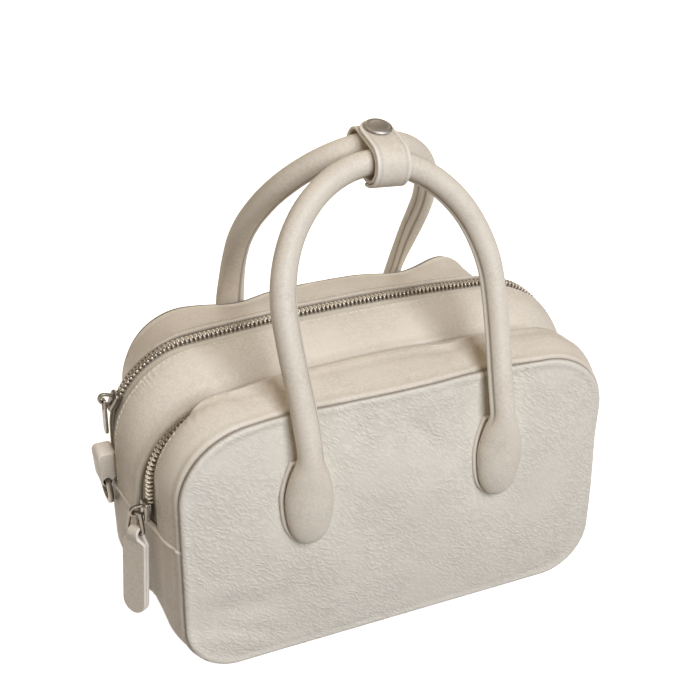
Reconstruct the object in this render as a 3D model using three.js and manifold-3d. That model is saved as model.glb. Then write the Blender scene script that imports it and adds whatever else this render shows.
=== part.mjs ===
import * as THREE from 'three';
import { mergeVertices } from 'three/addons/utils/BufferGeometryUtils.js';
import Module from 'manifold-3d';

const wasm = await Module();
wasm.setup();

// Boston bag in cream leather, with a zipped front compartment and two rolled handles.
// Millimetres, +X to the bag's right as seen from the front, +Y back, +Z up.

// Body
const panelWidth = 250;
const panelHeight = 148;
const frontDepth = 41.5;
const mainDepth = 89.5;
const bagDepth = frontDepth + mainDepth;
const seamDrop = 65;
const baseSeamHeight = panelHeight - seamDrop;
const panelCrown = 4;
const leather = 2;
const dentDepth = 10;

// Clearances
const seamGap = 0.3;
const layGap = 0.35;
const runGap = 0.4;
const zipGap = 0.8;
const frontSliderGap = 1.1;
const mainSliderGap = 0.75;
const panelGap = 0.5;

// Zips
const zipOpening = 18;
const tapeWidth = 27;
const tapeThickness = 0.9;
const chainWidth = 5.6;
const chainHeight = 2.2;
const sliderLength = 11;
const sliderWidth = 8.6;
const sliderHeight = 4;
const bailReach = 7.4;
const bailWire = 1.8;
const bailWidth = 2;
const frontSliderRise = 8;
const mainSliderTurn = 25;

// Pulls
const linkWire = 1.9;
const linkTopWidth = 7;
const linkFootWidth = 10.8;
const linkLength = 12;
const pullTwist = 35;
const pullLean = 5;
const pullLength = 50;
const pullWidth = 15;
const pullThickness = 4.4;
const metalPullLength = 21;
const metalPullWidth = 5.6;
const metalPullThickness = 1.6;
const metalPullEyeLength = 5.2;
const metalPullEyeWidth = 3.4;

// Handles
const handleDiameter = 13;
const handleSpan = 119;
const frontFootSpan = handleSpan - 6;
const rearSpan = handleSpan - 7;
const rearFootSpan = handleSpan - 14;
const rearFootShift = 5;
const frontDrift = -0.8;
const rearDrift = 6.1;
const frontRise = 112.3;
const rearRise = 115.8;
const frontLean = 44.7;
const rearLean = 60.8;
const legRise = 47.7;
const legHeight = panelHeight + legRise;
const archFullness = 1.95;
const dropWidth = 31;
const dropLength = 56;
const dropFall = 76;
const dropFoot = panelHeight - dropFall;
const dropBulge = 9.4;
const dropTabThickness = 1.6;
const dropTabRim = 2;

// Keeper strap round both handles
const keeperPlace = 6.5;
const keeperWidth = 19;
const keeperThickness = 1.8;
const snapDiameter = 15;
const snapHeight = 2.6;

// Side tabs and rings
const tabWidth = 14;
const tabReach = 8.6;
const tabHeight = 19;
const tabFoot = baseSeamHeight + 1;
const ringWire = 3;
const ringDrop = 15.5;
const ringLean = 5;

// Steps of the faceted surfaces
const archSteps = 30;
const troughSteps = 20;
const tubeSides = 12;
const wireSides = 8;
const grain = 1 / 4096;

const cream = { color: 0xe3dccd, roughness: 0.6, metalness: 0 };
const creamTape = { color: 0xdcd3c2, roughness: 0.85, metalness: 0 };
const silver = { color: 0xb4b0a8, roughness: 0.3, metalness: 1 };

// Sections across the bag. Depth counts 0 to 1 through the front compartment and 1 to 2 through
// the main one. half and bulge are shares of half the panel width, the rest of the panel height.
// upper and lower are the radii of the corners, bow is how far the top line arches up.
const frontSections = [
  { depth: 0.0, half: 1.0, foot: 0.0, top: 1.0, upper: 0.26, lower: 0.2, bow: 0.016, bulge: 0.003 },
  { depth: 0.46, half: 1.042, foot: 0.0, top: 1.02, upper: 0.25, lower: 0.215, bow: 0.03, bulge: 0.0 },
  { depth: 1.0, half: 1.014, foot: 0.03, top: 0.936, upper: 0.272, lower: 0.24, bow: 0.073, bulge: 0.07 },
];
const mainSections = [
  frontSections[2],
  { depth: 1.2, half: 1.075, foot: 0.0, top: 1.036, upper: 0.296, lower: 0.28, bow: 0.042, bulge: 0.026 },
  { depth: 1.43, half: 1.093, foot: 0.0, top: 1.053, upper: 0.29, lower: 0.31, bow: 0.057, bulge: 0.018 },
  { depth: 1.71, half: 1.01, foot: 0.0, top: 1.024, upper: 0.316, lower: 0.284, bow: 0.042, bulge: 0.007 },
  { depth: 2.0, half: 0.944, foot: 0.007, top: 1.032, upper: 0.278, lower: 0.256, bow: 0.0, bulge: -0.03 },
];
const mainZipDepth = frontDepth + 0.43 * mainDepth;
const frontZipDepth = frontDepth - zipOpening / 2;

// Places of the dents round the handles, as shares
const frontFoot = frontFootSpan / panelWidth;
const rearFoot = rearFootSpan / panelWidth;
const rearShift = (2 * rearFootShift) / panelWidth;
const dropMiddle = (dropFoot + 0.72 * dropLength) / panelHeight;

// The same dent at both ends of a handle
const pair = (name, x, shift, dent) => [
  { name: `left ${name}`, x: shift - x, ...dent },
  { name: `right ${name}`, x: shift + x, ...dent },
];

// Dents and folds. x and its radius are shares of half the panel width, y of the bag depth, z of
// the panel height. push and sink are shares of the dent depth, back into the bag and down.
const dents = [
  ...pair('drop', frontFoot, 0, { y: 0, z: dropMiddle, rx: 0.21, ry: 0.24, rz: 0.27, push: 0.42, sink: 0 }),
  ...pair('neck', frontFoot, 0, { y: 0.02, z: 1.0, rx: 0.13, ry: 0.15, rz: 0.15, push: 0.68, sink: 0.4 }),
  { name: 'shade by left drop', x: -0.62, y: 0, z: 0.84, rx: 0.1, ry: 0.12, rz: 0.17, push: 0.22, sink: 0 },
  { name: 'shade by right drop', x: 0.28, y: 0, z: 0.88, rx: 0.1, ry: 0.12, rz: 0.15, push: 0.18, sink: 0 },
  { name: 'left fold', x: -0.2, y: 0, z: 0.86, rx: 0.07, ry: 0.1, rz: 0.12, push: 0.15, sink: 0 },
  { name: 'middle fold', x: 0.06, y: 0, z: 0.8, rx: 0.09, ry: 0.1, rz: 0.12, push: 0.18, sink: 0 },
  { name: 'low left fold', x: -0.76, y: 0, z: 0.26, rx: 0.2, ry: 0.12, rz: 0.07, push: 0.24, sink: 0 },
  { name: 'right edge pinch', x: 1.0, y: 0, z: 0.62, rx: 0.09, ry: 0.12, rz: 0.16, push: 0.18, sink: 0 },
  { name: 'right crease', x: 0.32, y: 0.2, z: 1.0, rx: 0.12, ry: 0.09, rz: 0.1, push: 0, sink: 0.3 },
  { name: 'left crease', x: -0.6, y: 0.15, z: 0.98, rx: 0.1, ry: 0.07, rz: 0.1, push: 0, sink: 0.2 },
  { name: 'shoulder bump', x: 0.75, y: 0.99, z: 0.99, rx: 0.12, ry: 0.13, rz: 0.12, push: 0.1, sink: -0.4 },
  ...pair('rear drop', rearFoot, rearShift, {
    y: 1, z: dropMiddle, rx: 0.21, ry: 0.24, rz: 0.27, push: -0.42, sink: 0,
  }),
  ...pair('rear neck', rearFoot, rearShift, {
    y: 0.98, z: 1.0, rx: 0.14, ry: 0.12, rz: 0.16, push: -0.45, sink: 0.1,
  }),
];

const V = (x, y, z) => new THREE.Vector3(x, y, z);
const radians = THREE.MathUtils.degToRad;

function settle(point) {
  const moved = point.clone();
  for (const dent of dents) {
    const x = (point.x / (panelWidth / 2) - dent.x) / dent.rx;
    const y = (point.y / bagDepth - dent.y) / dent.ry;
    const z = (point.z / panelHeight - dent.z) / dent.rz;
    const weight = Math.exp(-x * x - y * y - z * z);
    moved.y += dent.push * dentDepth * weight;
    moved.z -= dent.sink * dentDepth * weight;
  }
  return moved;
}

// The slope of a column at a row: level where the column turns back or lies level
function slopeAt(before, here, after, key) {
  const down = here[key] - before[key];
  const up = after[key] - here[key];
  return down * up > 0 ? (after[key] - before[key]) / (after.depth - before.depth) : 0;
}

// Smooth curve through the rows of a table, one column at a time
function through(rows, place, key) {
  let i = 0;
  while (i < rows.length - 2 && place > rows[i + 1].depth) {
    i += 1;
  }
  const a = rows[i];
  const b = rows[i + 1];
  const span = b.depth - a.depth;
  const rise = (b[key] - a[key]) / span;
  const startSlope = span * (i > 0 ? slopeAt(rows[i - 1], a, b, key) : rise);
  const endSlope = span * (i < rows.length - 2 ? slopeAt(a, b, rows[i + 2], key) : rise);
  const t = (place - a.depth) / span;
  const tt = t * t;
  const ttt = tt * t;
  return (2 * ttt - 3 * tt + 1) * a[key] + (ttt - 2 * tt + t) * startSlope
    + (3 * tt - 2 * ttt) * b[key] + (ttt - tt) * endSlope;
}

function sectionAt(y, inMain) {
  const rows = inMain ? mainSections : frontSections;
  const place = inMain ? 1 + (y - frontDepth) / mainDepth : y / frontDepth;
  const halfWidth = panelWidth / 2;
  return {
    y,
    half: through(rows, place, 'half') * halfWidth,
    bulge: through(rows, place, 'bulge') * halfWidth,
    foot: through(rows, place, 'foot') * panelHeight,
    top: through(rows, place, 'top') * panelHeight,
    upper: through(rows, place, 'upper') * panelHeight,
    lower: through(rows, place, 'lower') * panelHeight,
    bow: through(rows, place, 'bow') * panelHeight,
  };
}

// Bows the top line and bulges the sides of a plain rounded rectangle
function swell(section, x, z) {
  const rise = THREE.MathUtils.clamp((z - section.foot) / (section.top - section.foot), 0, 1);
  const across = x / section.half;
  const up = 2 * rise - 1;
  const wide = x * (1 + (section.bulge / section.half) * (1 - up * up));
  return V(wide, section.y, z + section.bow * (1 - across * across) * rise * rise);
}

// A point of the section's outline over the bag: 0 at the left base seam, 1 at the right one
function archPoint(section, inset, share) {
  const mirrored = share > 0.5;
  const u = mirrored ? 1 - share : share;
  const half = section.half - inset;
  const radius = section.upper - inset;
  const shoulder = section.top - inset - radius;
  const rim = baseSeamHeight + seamGap / 2;
  let x = -half;
  let z = rim + (shoulder - rim) * (u / 0.1);
  if (u > 0.3) {
    x = (-half + radius) * (1 - (u - 0.3) / 0.2);
    z = section.top - inset;
  } else if (u > 0.1) {
    const turn = ((u - 0.1) / 0.2) * (Math.PI / 2);
    x = -half + radius - radius * Math.cos(turn);
    z = shoulder + radius * Math.sin(turn);
  }
  return swell(section, mirrored ? -x : x, z);
}

// A point of the outline under the bag: 0 at the left base seam, 1 at the right one
function troughPoint(section, inset, share) {
  const mirrored = share > 0.5;
  const u = mirrored ? 1 - share : share;
  const half = section.half - inset;
  const radius = section.lower - inset;
  const heel = section.foot + inset + radius;
  const rim = baseSeamHeight - seamGap / 2;
  let x = -half;
  let z = rim + (heel - rim) * (u / 0.1);
  if (u > 0.35) {
    x = (-half + radius) * (1 - (u - 0.35) / 0.15);
    z = section.foot + inset;
  } else if (u > 0.1) {
    const turn = ((u - 0.1) / 0.25) * (Math.PI / 2);
    x = -half + radius - radius * Math.cos(turn);
    z = heel - radius * Math.sin(turn);
  }
  return swell(section, mirrored ? -x : x, z);
}

function spread(from, to, steps) {
  return Array.from({ length: steps + 1 }, (_, i) => from + ((to - from) * i) / steps);
}

// One closed body from its points and triangles, with its faces turned out
function closedBody(points, triangles) {
  let volume = 0;
  for (const [a, b, c] of triangles) {
    volume += points[a].dot(points[b].clone().cross(points[c]));
  }
  const turned = volume < 0 ? triangles.map(([a, b, c]) => [a, c, b]) : triangles;
  const geometry = new THREE.BufferGeometry();
  geometry.setAttribute('position', new THREE.Float32BufferAttribute(points.flatMap((p) => p.toArray()), 3));
  geometry.setIndex(turned.flat());
  geometry.computeVertexNormals();
  return geometry;
}

const quad = (a, b, c, d) => [[a, b, c], [a, c, d]];

// A sheet between two matching grids of points, closed all round its four edges
function sheet(outer, inner) {
  const rows = outer.length;
  const columns = outer[0].length;
  const points = [...outer.flat(), ...inner.flat()];
  const out = (r, c) => r * columns + c;
  const back = (r, c) => rows * columns + r * columns + c;
  const triangles = [];
  for (let r = 0; r < rows - 1; r += 1) {
    for (let c = 0; c < columns - 1; c += 1) {
      triangles.push(...quad(out(r, c), out(r, c + 1), out(r + 1, c + 1), out(r + 1, c)));
      triangles.push(...quad(back(r, c), back(r + 1, c), back(r + 1, c + 1), back(r, c + 1)));
    }
    const last = columns - 1;
    triangles.push(...quad(out(r, 0), out(r + 1, 0), back(r + 1, 0), back(r, 0)));
    triangles.push(...quad(out(r + 1, last), out(r, last), back(r, last), back(r + 1, last)));
  }
  for (let c = 0; c < columns - 1; c += 1) {
    const last = rows - 1;
    triangles.push(...quad(out(0, c + 1), out(0, c), back(0, c), back(0, c + 1)));
    triangles.push(...quad(out(last, c), out(last, c + 1), back(last, c + 1), back(last, c)));
  }
  return closedBody(points, triangles);
}

const middleOf = (ring) => ring.reduce((sum, p) => sum.add(p), V(0, 0, 0)).divideScalar(ring.length);

// A plate between two matching stacks of rings that run from the border in to the middle
function plate(outer, inner) {
  const rings = [...outer.slice().reverse(), ...inner];
  return loft(rings, false);
}

// A skin over a row of rings, closed by a fan at each end or joined end to end
function loft(rings, endless) {
  const count = rings.length;
  const sides = rings[0].length;
  const points = rings.flat();
  const at = (r, s) => (r % count) * sides + (s % sides);
  const triangles = [];
  for (let r = 0; r < (endless ? count : count - 1); r += 1) {
    for (let s = 0; s < sides; s += 1) {
      triangles.push(...quad(at(r, s), at(r, s + 1), at(r + 1, s + 1), at(r + 1, s)));
    }
  }
  if (!endless) {
    points.push(middleOf(rings[0]), middleOf(rings[count - 1]));
    for (let s = 0; s < sides; s += 1) {
      triangles.push([points.length - 2, at(0, s + 1), at(0, s)]);
      triangles.push([points.length - 1, at(count - 1, s), at(count - 1, s + 1)]);
    }
  }
  return closedBody(points, triangles);
}

function extruded(shape, depth, curveSegments) {
  return new THREE.ExtrudeGeometry(shape, { depth, bevelEnabled: false, curveSegments });
}

function solidOf(geometry) {
  const bare = geometry.clone();
  bare.deleteAttribute('normal');
  bare.deleteAttribute('uv');
  const places = bare.attributes.position.array;
  for (let i = 0; i < places.length; i += 1) {
    places[i] = Math.round(places[i] / grain) * grain;
  }
  const merged = mergeVertices(bare, grain / 4);
  return new wasm.Manifold(new wasm.Mesh({
    numProp: 3,
    vertProperties: new Float32Array(merged.attributes.position.array),
    triVerts: new Uint32Array(merged.index.array),
  }));
}

function geometryOf(solid) {
  const mesh = solid.getMesh();
  const geometry = new THREE.BufferGeometry();
  geometry.setAttribute('position', new THREE.BufferAttribute(new Float32Array(mesh.vertProperties), 3));
  geometry.setIndex(new THREE.BufferAttribute(new Uint32Array(mesh.triVerts), 1));
  geometry.computeVertexNormals();
  return geometry;
}

const bag = new THREE.Group();

function place(name, geometry, finish, parent = bag) {
  const mesh = new THREE.Mesh(geometry, new THREE.MeshStandardMaterial(finish));
  mesh.name = name;
  parent.add(mesh);
  return mesh;
}

// A strip of leather or tape that follows the bag's outline from one depth to another
function strip({ outline, from, via = from, to, steps, inset, thickness, inMain, shares }) {
  const row = (y, depth) => {
    const section = sectionAt(y, inMain(y));
    return shares.map((share) => settle(outline(section, depth, share)));
  };
  const depths = via > from ? [...spread(from, via, steps - 1), to] : spread(from, to, steps);
  return sheet(
    depths.map((y) => row(y, inset)),
    depths.map((y) => row(y, inset + thickness)),
  );
}

const archShares = spread(0, 1, archSteps);
const troughShares = spread(0, 1, troughSteps);
const always = () => true;
const never = () => false;

// Gussets: the strips over the top and the troughs under it
function addGussets() {
  const zipEdge = zipOpening / 2;
  const frontEdge = panelGap;
  const rearEdge = bagDepth - panelGap;
  const upper = { outline: archPoint, inset: 0, thickness: leather, shares: archShares };
  const lower = { outline: troughPoint, inset: 0, thickness: leather, shares: troughShares };
  place('front_gusset', strip({
    ...upper, from: frontEdge, to: frontZipDepth - zipEdge, steps: 5, inMain: never,
  }), cream);
  place('front_base_gusset', strip({
    ...lower, from: frontEdge, to: frontDepth - seamGap / 2, steps: 6, inMain: never,
  }), cream);
  place('main_front_gusset', strip({
    ...upper, from: frontDepth + seamGap / 2, to: mainZipDepth - zipEdge, steps: 5, inMain: always,
  }), cream);
  place('main_rear_gusset', strip({
    ...upper, from: mainZipDepth + zipEdge, to: rearEdge, steps: 5, inMain: always,
  }), cream);
  place('main_base_gusset', strip({
    ...lower, from: frontDepth + seamGap / 2, to: rearEdge, steps: 9, inMain: always,
  }), cream);
}

// Front and back panels: crowned sheets inside the seams
function panelY(x, z, facing) {
  const high = panelHeight / 2;
  const wide = panelWidth / 2;
  const out = Math.min(1, ((Math.abs(x) / wide) ** 4 + (Math.abs(z - high) / high) ** 4) ** 0.25);
  return facing * panelCrown * (1 - out ** 3);
}

function outlineRing(section, insetOver, insetUnder) {
  const over = archShares.map((share) => archPoint(section, insetOver, share));
  const low = troughShares.slice(1, -1).reverse();
  return [...over, ...low.map((share) => troughPoint(section, insetUnder, share))];
}

function addPanel(name, y, facing, inMain) {
  const border = outlineRing(sectionAt(y, inMain), 0, 0);
  const middle = V(0, y, panelHeight / 2);
  const sizes = [1, 0.86, 0.68, 0.47, 0.23];
  const rings = (offset) => sizes.map((size) => border.map((point) => {
    const at = point.clone().sub(middle).multiplyScalar(size).add(middle);
    at.y = y + panelY(at.x, at.z, facing) + offset;
    return settle(at);
  }));
  return place(name, plate(rings(facing * leather), rings(0)), cream).geometry;
}

// The wall between the two compartments lies in the groove, inside the strips and the tape
function addDivider() {
  const section = sectionAt(frontDepth, true);
  const underTape = leather + layGap + tapeThickness + layGap;
  const ring = outlineRing(section, underTape, leather + layGap);
  const at = (y) => ring.map((point) => settle(V(point.x, y, point.z)));
  place('divider_panel', loft([at(frontDepth - leather / 2), at(frontDepth + leather / 2)], false), cream);
}

// A zip: its tape under the leather edges, and its closed chain as one ridge
function addZip(name, depth, inMain, via, [chainFrom, chainTo]) {
  const reach = { from: depth - tapeWidth / 2, to: depth + tapeWidth / 2 };
  place(`${name}_zip_tape`, strip({
    outline: archPoint, ...reach, via, steps: 4, inset: leather + layGap, thickness: tapeThickness,
    inMain, shares: archShares,
  }), creamTape);
  place(`${name}_zip_chain`, strip({
    outline: archPoint, from: depth - chainWidth / 2, to: depth + chainWidth / 2, steps: 1,
    inset: leather - chainHeight - seamGap, thickness: chainHeight, inMain,
    shares: spread(chainFrom, chainTo, archSteps),
  }), silver);
}

// The share of the arch at which a slider ends and its chain begins
function shareAbove(section, height) {
  let share = 0;
  while (archPoint(section, 0, share).z < height) {
    share += 0.0005;
  }
  return share;
}

function sliderSeat(y, inMain, height) {
  const section = sectionAt(y, inMain);
  const share = shareAbove(section, height);
  const at = settle(archPoint(section, 0, share));
  const next = settle(archPoint(section, 0, share + 0.002));
  const along = next.clone().sub(at).normalize();
  return { at, turn: Math.atan2(along.x, along.z) };
}

// Slider: a block over the chain's end with a bail standing on it. Here +Z runs up the zip and
// -X out of the bag.
function sliderGeometry(gap) {
  const seat = leather + layGap - gap;
  const block = new THREE.Shape();
  const halfWide = sliderWidth / 2;
  const halfLong = sliderLength / 2;
  const nose = halfWide * 0.55;
  block.moveTo(-halfWide, halfLong - nose);
  block.absarc(-halfWide + nose, halfLong - nose, nose, Math.PI, Math.PI / 2, true);
  block.absarc(halfWide - nose, halfLong - nose, nose, Math.PI / 2, 0, true);
  block.lineTo(halfWide * 0.72, -halfLong);
  block.lineTo(-halfWide * 0.72, -halfLong);
  block.closePath();
  const body = extruded(block, sliderHeight, 4);
  body.rotateX(Math.PI / 2).rotateZ(-Math.PI / 2).translate(seat, 0, 0);
  const bail = new THREE.Shape();
  const foot = halfLong * 0.66;
  const outer = -(sliderHeight - seat) - bailReach;
  bail.moveTo(seat - sliderHeight + 1, -foot);
  bail.lineTo(outer + foot * 0.6, -foot);
  bail.absarc(outer + foot * 0.6, -foot + foot * 0.6, foot * 0.6, -Math.PI / 2, -Math.PI, true);
  bail.lineTo(outer, foot * 0.4);
  bail.absarc(outer + foot * 0.6, foot * 0.4, foot * 0.6, Math.PI, Math.PI / 2, true);
  bail.lineTo(seat - sliderHeight + 1, foot);
  bail.closePath();
  const eye = new THREE.Path();
  const eyeFoot = foot - bailWire;
  const eyeOuter = outer + bailWire;
  eye.moveTo(seat - sliderHeight, -eyeFoot);
  eye.lineTo(seat - sliderHeight, eyeFoot);
  eye.lineTo(eyeOuter + eyeFoot * 0.4, eyeFoot);
  eye.lineTo(eyeOuter, eyeFoot * 0.6);
  eye.lineTo(eyeOuter, -eyeFoot * 0.6);
  eye.lineTo(eyeOuter + eyeFoot * 0.4, -eyeFoot);
  eye.closePath();
  bail.holes.push(eye);
  const loop = extruded(bail, bailWidth, 4);
  loop.rotateX(Math.PI / 2).translate(0, bailWidth / 2, 0);
  return geometryOf(solidOf(body).add(solidOf(loop)));
}

// A pull's top bar hangs in the bail, out from the leather and down from the bail's middle
function addSlider(name, { y, inMain, height, gap }) {
  const seat = sliderSeat(y, inMain, height);
  const blockTop = leather + layGap - gap - sliderHeight;
  const hangReach = blockTop - bailReach + bailWire + linkWire;
  const hangDrop = sliderLength * 0.33 - bailWire - linkWire / 2 - 0.2;
  const slider = place(name, sliderGeometry(gap), silver);
  slider.position.copy(seat.at);
  slider.rotation.y = seat.turn;
  const hang = V(hangReach, 0, -hangDrop).applyAxisAngle(V(0, 1, 0), seat.turn).add(seat.at);
  return { hang, top: seat.at.z + sliderLength / 2 };
}

// A wire bent along a closed flat path of [across, up] points in the YZ plane
function wireLoop(path, diameter) {
  const count = path.length;
  const flat = V(1, 0, 0);
  const rings = path.map(([across, up], i) => {
    const next = path[(i + 1) % count];
    const last = path[(i + count - 1) % count];
    const along = V(0, next[0] - last[0], next[1] - last[1]).normalize();
    const side = along.clone().cross(flat);
    return spread(0, 2 * Math.PI, wireSides).slice(0, -1).map((turn) => V(0, across, up)
      .addScaledVector(side, Math.cos(turn) * (diameter / 2))
      .addScaledVector(flat, Math.sin(turn) * (diameter / 2)));
  });
  return loft(rings, true);
}

const bent = (value, power) => Math.sign(value) * Math.abs(value) ** power;

// The link hangs from its top bar at the origin and widens to its foot
function linkGeometry() {
  const squareness = 2 / 6;
  const turns = spread(0, 2 * Math.PI, 24).slice(0, -1);
  const path = turns.map((turn) => {
    const up = (linkLength / 2) * (bent(Math.sin(turn), squareness) - 1);
    const half = (linkTopWidth + (linkFootWidth - linkTopWidth) * (-up / linkLength)) / 2;
    return [half * bent(Math.cos(turn), squareness), up];
  });
  return wireLoop(path, linkWire);
}

// The leather pull is two layers folded round the link's foot, with a round end
function pullGeometry() {
  const bore = linkWire / 2 + runGap + 0.25;
  const head = bore + 1.6;
  const linkTaper = ((linkFootWidth - linkTopWidth) / (2 * linkLength)) * head;
  const neck = linkFootWidth / 2 - linkWire / 2 - linkTaper - runGap;
  const half = pullWidth / 2;
  const outline = new THREE.Shape();
  outline.moveTo(-neck, 0);
  outline.lineTo(-neck, head - 1);
  outline.quadraticCurveTo(-neck, head, -neck + 1, head);
  outline.lineTo(neck - 1, head);
  outline.quadraticCurveTo(neck, head, neck, head - 1);
  outline.lineTo(neck, -linkWire);
  outline.quadraticCurveTo(half, -linkWire * 2, half, -pullWidth * 0.5);
  outline.lineTo(half, -pullLength + half);
  outline.absarc(0, -pullLength + half, half, 0, -Math.PI, true);
  outline.lineTo(-half, -pullWidth * 0.5);
  outline.quadraticCurveTo(-half, -linkWire * 2, -neck, -linkWire);
  outline.closePath();
  const slab = extruded(outline, pullThickness, 8);
  slab.rotateX(Math.PI / 2).rotateZ(Math.PI / 2).translate(-pullThickness / 2, 0, 0);
  const hole = new THREE.CylinderGeometry(bore, bore, pullWidth * 2, 12);
  return geometryOf(solidOf(slab).subtract(solidOf(hole))).translate(0, 0, -linkLength);
}

function metalPullGeometry() {
  const half = metalPullWidth / 2;
  const bar = linkWire * 0.7;
  const outline = new THREE.Shape();
  outline.moveTo(-half, bar / 2 - 1);
  outline.quadraticCurveTo(-half, bar / 2, -half + 1, bar / 2);
  outline.lineTo(half - 1, bar / 2);
  outline.quadraticCurveTo(half, bar / 2, half, bar / 2 - 1);
  outline.lineTo(half, -metalPullLength + half);
  outline.absarc(0, -metalPullLength + half, half, 0, -Math.PI, true);
  outline.closePath();
  const eye = new THREE.Path();
  const eyeHalf = metalPullEyeWidth / 2;
  eye.moveTo(-eyeHalf, -bar / 2);
  eye.lineTo(-eyeHalf, -bar / 2 - metalPullEyeLength);
  eye.lineTo(eyeHalf, -bar / 2 - metalPullEyeLength);
  eye.lineTo(eyeHalf, -bar / 2);
  eye.closePath();
  outline.holes.push(eye);
  const slab = extruded(outline, metalPullThickness, 6);
  slab.rotateX(Math.PI / 2).rotateZ(Math.PI / 2).translate(-metalPullThickness / 2, 0, 0);
  return geometryOf(solidOf(slab));
}

function addZips() {
  const front = addSlider('front_slider', {
    y: frontZipDepth, inMain: false, height: baseSeamHeight + frontSliderRise, gap: frontSliderGap,
  });
  const mainSection = sectionAt(mainZipDepth, true);
  const mainHeight = mainSection.top - mainSection.upper * (1 - Math.sin(radians(mainSliderTurn)));
  const main = addSlider('main_slider', {
    y: mainZipDepth, inMain: true, height: mainHeight, gap: mainSliderGap,
  });
  const frontFrom = shareAbove(sectionAt(frontZipDepth, false), front.top + 2 * zipGap);
  const mainFrom = shareAbove(mainSection, main.top + zipGap);
  const mainTo = 1 - shareAbove(mainSection, tabFoot + tabHeight + zipGap);
  addZip('front', frontZipDepth, (y) => y > frontDepth, frontDepth, [frontFrom, 1]);
  addZip('main', mainZipDepth, always, undefined, [mainFrom, mainTo]);

  const frontPull = new THREE.Group();
  frontPull.position.copy(front.hang);
  frontPull.rotation.set(0, radians(pullLean), radians(pullTwist), 'ZYX');
  bag.add(frontPull);
  place('front_pull_link', linkGeometry(), silver, frontPull);
  place('front_pull_leather', pullGeometry(), cream, frontPull);

  const mainPull = place('main_pull', metalPullGeometry(), silver);
  mainPull.position.copy(main.hang);
}

// Domed ends of the handles. up is a share of the drop's length from its foot, wide of half its
// width inside the rim, front of its bulge, back of the handle's radius.
const dropRows = [
  { up: 0.015, wide: 0.3, front: 0.2, back: 0.1 },
  { up: 0.06, wide: 0.56, front: 0.42, back: 0.12 },
  { up: 0.16, wide: 0.81, front: 0.66, back: 0.12 },
  { up: 0.32, wide: 0.96, front: 0.88, back: 0.12 },
  { up: 0.5, wide: 1.0, front: 1.0, back: 0.14 },
  { up: 0.68, wide: 0.88, front: 1.0, back: 0.26 },
  { up: 0.86, wide: 0.64, front: 0.86, back: 0.6 },
];
const dropHalf = dropWidth / 2 - dropTabRim;
const neckHeight = dropFoot + dropTabRim + dropLength;
const dropHeight = (up) => dropFoot + dropTabRim + up * dropLength;

// The face of a panel at a distance out from its outer side
function seatY(x, z, facing, out) {
  const seam = facing < 0 ? 0 : bagDepth;
  return settle(V(x, seam + panelY(x, z, facing) + facing * (leather + out), z)).y;
}

function neckSeat({ facing, footSpan, footShift }) {
  const tabFace = layGap + dropTabThickness + layGap;
  return seatY(footShift - footSpan / 2, neckHeight, facing, tabFace) + (facing * handleDiameter) / 2;
}

// Handle: one padded tube from drop to drop. Each section has a middle, a half width across the
// handle's plane, and a reach to its front and back.
function handleSections(handle) {
  const { facing, rise, lean, bend, span, drift, footSpan, footShift, legs } = handle;
  const radius = handleDiameter / 2;
  const tabFace = layGap + dropTabThickness + layGap;
  const sections = [];
  const leg = (side) => {
    const footX = footShift + (side * footSpan) / 2;
    const shape = legs[side < 0 ? 'left' : 'right'];
    const rows = dropRows.map((row) => {
      const z = dropHeight(row.up);
      const back = row.back * radius;
      const sag = runGap * (1 - row.back) + 0.1;
      return {
        at: V(footX, seatY(footX, z, facing, tabFace) + facing * (back + sag), z),
        wide: row.wide * dropHalf, front: row.front * dropBulge, back, flat: true,
      };
    });
    const neckY = neckSeat(handle);
    const path = (z, x) => {
      const climb = (z - neckHeight) / (rise - neckHeight);
      return V(x + footShift + (drift - footShift) * climb, neckY + (lean - neckY) * climb ** bend, z);
    };
    const legSteps = 6;
    for (const t of spread(0, 1, legSteps)) {
      const ease = t * t * (3 - 2 * t);
      const z = neckHeight + (legHeight - neckHeight) * t;
      const x = side * (footSpan / 2 + ((span - footSpan) / 2) * ease);
      const pinch = Math.exp(-(((t - shape.place) / 0.35) ** 2));
      rows.push({
        at: path(z, x), wide: radius * (1 + shape.wide * pinch),
        front: radius * (1 + shape.deep * pinch), back: radius * (1 + shape.deep * pinch),
      });
    }
    const archHalfSteps = 9;
    for (const turn of spread(0, Math.PI / 2, archHalfSteps).slice(1, side < 0 ? undefined : -1)) {
      const x = side * (span / 2) * Math.cos(turn) ** (2 / archFullness);
      const z = legHeight + (rise - legHeight) * Math.sin(turn) ** (2 / archFullness);
      rows.push({ at: path(z, x), wide: radius, front: radius, back: radius });
    }
    return rows;
  };
  sections.push(...leg(-1), ...leg(1).reverse());
  return sections;
}

function handleGeometry(options) {
  const sections = handleSections(options);
  const forward = V(0, options.facing, 0);
  const rings = sections.map((section, i) => {
    const last = sections[Math.max(0, i - 1)].at;
    const next = sections[Math.min(sections.length - 1, i + 1)].at;
    const rising = i < sections.length / 2 ? 1 : -1;
    const along = section.flat ? V(0, 0, rising) : next.clone().sub(last).normalize();
    const out = forward.clone().addScaledVector(along, -forward.dot(along)).normalize();
    const across = along.clone().cross(out);
    return spread(0, 2 * Math.PI, tubeSides).slice(0, -1).map((turn) => {
      const depth = Math.sin(turn) > 0 ? section.front : section.back;
      return section.at.clone()
        .addScaledVector(across, Math.cos(turn) * section.wide)
        .addScaledVector(out, Math.sin(turn) * depth);
    });
  });
  return loft(rings, false);
}

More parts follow.
